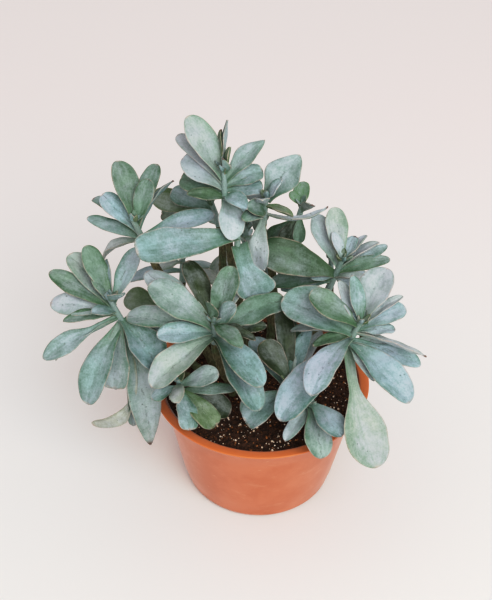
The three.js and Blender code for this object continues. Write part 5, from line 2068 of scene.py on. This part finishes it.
@dataclass
class Soil:
    """Dark potting mix in the pot: a crumbly body, loose crumbs, pale grains and golden flakes."""

    patterns: Patterns
    pot: Pot
    level: float = 106.0
    dome: float = 4.0
    ripple: float = 1.2
    straight_pitch: Span = (7.7, 9.0)
    slant_pitch: float = 4.8
    gap: float = 0.3
    cells: int = 150
    crumb_waves: tuple[tuple[float, float, int], ...] = ((0.9, 7, 3), (0.75, 3.4, 4), (0.4, 2.4, 5))
    crumb_sink: float = 0.6
    rim_band: float = 3.0
    rim_crumbs: float = 0.35
    smooth_angle: float = 50.0
    wall_clearance: float = 1.5
    stem_clearance: float = 6.5
    pebble_segments: int = 6
    pebble_rings: int = 4
    pebble_turn: float = 6.28
    pebble_lean: float = 0.6
    pebble_bumps: Span = (0.72, 1.2)
    pebble_breadth: Span = (0.6, 1)

    @property
    def radius(self) -> float:
        """Radius of the soil's top."""
        return self.pot.wall_radius(self.level) - self.pot.wall - self.gap

    def height_at(self, x: Array, y: Array) -> Array:
        """The soil's height, without its crumbs.

        Args:
            x: Places to the plant's right.
            y: Places towards its back.

        Returns:
            The height at each place.
        """
        out = np.hypot(x, y) / self.pot.wall_top_radius
        straight = np.sin(x / self.straight_pitch[0] + 1) * np.cos(y / self.straight_pitch[1])
        slant = np.sin((x - y) / self.slant_pitch) / 2
        return self.level + (self.dome + self.ripple * (straight + slant)) * np.maximum(0, 1 - out * out)

    def build(self) -> None:
        """Models and dresses the soil and what lies loose on it."""
        mix = EarthFinish("potting_mix", light="553422", dark="1A0F08", scale=260.0)
        finish(self._body(), mix.build(self.patterns), replaces="soil")
        crumb = EarthFinish("bark_crumb", light="70452A", dark="23140B", scale=240.0)
        self._scatter("loose_crumbs", crumb, count=2100, sizes=(1.0, 3.4), flatness=0.6, seed=11)
        grain = EarthFinish("pale_grain", light="FAEEE0", dark="D8BC9C", scale=420.0, roughness=0.9,
                            depth=0.3)
        self._scatter("pale_grains", grain, count=330, sizes=(0.8, 2.6), flatness=0.75, seed=12, lift=0.35,
                      frontward=0.6, outward=0.3)
        flake = EarthFinish("golden_flake", light="CC8A4C", dark="84491F", scale=420.0, roughness=0.6,
                            depth=0.3)
        self._scatter("golden_flakes", flake, count=520, sizes=(0.9, 2.6), flatness=0.35, seed=13, lift=0.3)

    def _body(self) -> Item:
        """Models the body of the soil: a fine grid, rounded to a disc, roughened and drawn down to its foot.

        Returns:
            The body.
        """
        deselect_all()
        bpy.ops.mesh.primitive_grid_add(x_subdivisions=self.cells, y_subdivisions=self.cells, size=2)
        body = named("potting_mix")
        grid = coordinates(body.data)
        u, v = grid[:, 0], grid[:, 1]
        x = self.radius * u * np.sqrt(1 - v * v / 2)
        y = self.radius * v * np.sqrt(1 - u * u / 2)
        flat = np.stack([x, y, np.zeros(len(x))], 1)
        inner = smooth(np.hypot(x, y), self.radius, self.radius - self.rim_band)
        crumbs = sum(height * ripple_noise(flat, pitch, seed) for height, pitch, seed in self.crumb_waves)
        share = self.rim_crumbs + (1 - self.rim_crumbs) * inner
        flat[:, 2] = self.height_at(x, y) + share * crumbs - self.crumb_sink
        place_vertices(body.data, flat)
        activate(body)
        pick_outer_edge()
        low = self.pot.floor + self.gap
        for height in (low + self.pot.inner_round, low):
            bpy.ops.mesh.extrude_edges_move()
            width = self.pot.wall_radius(height) - self.pot.wall - self.gap
            if height == low:
                width -= self.pot.inner_round
            bpy.ops.object.mode_set(mode="OBJECT")
            ring = [vertex for vertex in body.data.vertices if vertex.select]
            for vertex in ring:
                scale = width * MM / math.hypot(vertex.co.x, vertex.co.y)
                vertex.co = (vertex.co.x * scale, vertex.co.y * scale, height * MM)
            bpy.ops.object.mode_set(mode="EDIT")
        close_skin()
        smooth_faces(body, self.smooth_angle)
        return body

    def _scatter(self, name: str, look: EarthFinish, count: int, sizes: Span, flatness: float,
                 seed: int, lift: float = 0.1, frontward: float = 0.0, outward: float = 0.5) -> None:
        """Strews copies of one uneven pebble over the soil.

        Args:
            name: The piece's name.
            look: Its finish.
            count: Number of pebbles.
            sizes: Smallest and largest size, in millimetres.
            flatness: Height against width.
            seed: Seed of their places.
            lift: How far a pebble's middle stands over the soil, as a part of its size.
            frontward: Share of the pebbles that lie in the front half only.
            outward: Power that spreads them: 0.5 evenly, less towards the pot's wall.
        """
        draw = random.Random(seed)
        deselect_all()
        bpy.ops.mesh.primitive_uv_sphere_add(segments=self.pebble_segments, ring_count=self.pebble_rings,
                                             radius=0.5)
        pebble = named("pebble")
        shape = coordinates(pebble.data)
        feet = [places[0] for places in STEMS.values()]
        parts = []
        while len(parts) < count:
            turn = draw.uniform(0, 2 * math.pi)
            out = (self.radius - self.wall_clearance) * draw.random()**outward
            x, y = out * math.cos(turn), out * math.sin(turn)
            if y > 0 and draw.random() < frontward:
                y = -y
            if any(math.hypot(x - foot[0], y - foot[1]) < self.stem_clearance for foot in feet):
                continue
            size = sizes[0] + (sizes[1] - sizes[0]) * draw.random() ** 2
            spin = Matrix.Rotation(draw.uniform(0, self.pebble_turn), 3, "Z")
            spin @= Matrix.Rotation(draw.uniform(-self.pebble_lean, self.pebble_lean), 3, "X")
            uneven = np.array([draw.uniform(*self.pebble_bumps) for _ in range(len(shape))])[:, None]
            form = shape * uneven * (size, size * draw.uniform(*self.pebble_breadth), size * flatness)
            height = float(self.height_at(np.array(x), np.array(y))) + lift * size
            parts.append(copy_of(pebble, name))
            place_vertices(parts[-1].data, form @ np.array(spin).T + (x, y, height))
        bpy.data.objects.remove(pebble)
        finish(joined(name, parts), look.build(self.patterns))


# ------------------------------ studio
@dataclass
class Studio:
    """A pale floor, soft light and the camera, looking down on the plant from the front."""

    patterns: Patterns
    floor_size: float = 8.0
    # Painted light on the floor: the colour at the front under the key lamp, the colour at the back under the
    # pinkish fill, and where it changes.
    floor_front: str = "E9EAE9"
    floor_back: str = "ECE4E2"
    floor_fade: Span = (-150.0, 900.0)
    floor_clouds: Mottle = Mottle(1.5, 0.3, 0.7)
    floor_unevenness: float = 0.1
    floor_roughness: float = 0.85
    fill_colour: str = "FFF6F5"
    fill_strength: float = 0.74
    key_place: Place = (1000.0, -2100.0, 2300.0)
    key_size: float = 2.4
    key_power: float = 66.0
    key_colour: str = "F9FFFB"
    response: tuple[Span, ...] = ((0.1, 0.06), (0.3, 0.26), (0.6, 0.64), (0.85, 0.83))

    def build(self) -> None:
        """Sets up the floor, the light and the camera."""
        self._film()
        self._floor()
        self._fill()
        self._key()
        self._camera()

    def _film(self) -> None:
        """A film's response: deep shadows and soft highlights."""
        view = bpy.context.scene.view_settings
        view.view_transform = "Standard"
        view.use_curve_mapping = True
        combined = view.curve_mapping.curves[-1]
        for light, shown in self.response:
            combined.points.new(light, shown)
        view.curve_mapping.update()

    def _floor(self) -> None:
        """A wide seamless floor, with painted light: whiter towards the front, where the key lamp falls, and
        pinker towards the back.
        """
        deselect_all()
        bpy.ops.mesh.primitive_plane_add(size=self.floor_size)
        floor = named("studio_floor")
        bench, shader = new_material("studio_paper")
        where = bench.node("TexCoord").outputs["Object"]
        backward = bench.node("SeparateXYZ", {0: where}).outputs[1]
        # Painted light: whiter towards the front, where the key lamp falls, and pinker towards the back.
        near, far = (place * MM for place in self.floor_fade)
        clouds, _ = self.patterns.place(bench, where, self.floor_clouds)
        share = bench.add_part(clouds, self.floor_unevenness, bench.ease(backward, near, far))
        colour = bench.mix(share, paint(self.floor_front), paint(self.floor_back))
        bench.put(shader.inputs["Base Color"], colour)
        shader.inputs["Roughness"].default_value = self.floor_roughness
        floor.data.materials.append(material_of(bench))

    def _fill(self) -> None:
        """Even light from all round."""
        world = bpy.data.worlds.new("fill")
        world.use_nodes = True
        background = world.node_tree.nodes["Background"]
        background.inputs["Color"].default_value = paint(self.fill_colour)
        background.inputs["Strength"].default_value = self.fill_strength
        bpy.context.scene.world = world

    def _key(self) -> None:
        """One large soft lamp, high on the front right."""
        data = bpy.data.lights.new("key", "AREA")
        data.shape = "DISK"
        data.size = self.key_size
        data.energy = self.key_power
        data.color = paint(self.key_colour)[:3]
        lamp = bpy.data.objects.new("key", data)
        bpy.context.scene.collection.objects.link(lamp)
        place = Vector(self.key_place)
        aim = Vector(VIEW.target) - place
        lamp.location = place * MM
        lamp.rotation_euler = aim.to_track_quat("-Z", "Y").to_euler()

    def _camera(self) -> None:
        """The camera, at its height and slight tilt."""
        data = bpy.data.cameras.new("camera")
        data.sensor_fit = "VERTICAL"
        data.angle_y = math.radians(VIEW.angle)
        camera = bpy.data.objects.new("camera", data)
        bpy.context.scene.collection.objects.link(camera)
        turn = Matrix(np.stack([VIEW.right, VIEW.up, -VIEW.forward], 1)).to_4x4()
        camera.matrix_world = Matrix.Translation(Vector(VIEW.viewer) * MM) @ turn
        bpy.context.scene.camera = camera


def main() -> None:
    """Builds the plant round the frame, piece by piece."""
    logging.basicConfig(level=logging.INFO, format="%(name)s: %(message)s")
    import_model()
    patterns = Patterns()
    Studio(patterns).build()
    pot = Pot(patterns)
    pot.build()
    Soil(patterns, pot).build()
    heads = LeafyHeads(patterns).build()
    Stems(patterns).build(heads)


if __name__ == "__main__":
    main()
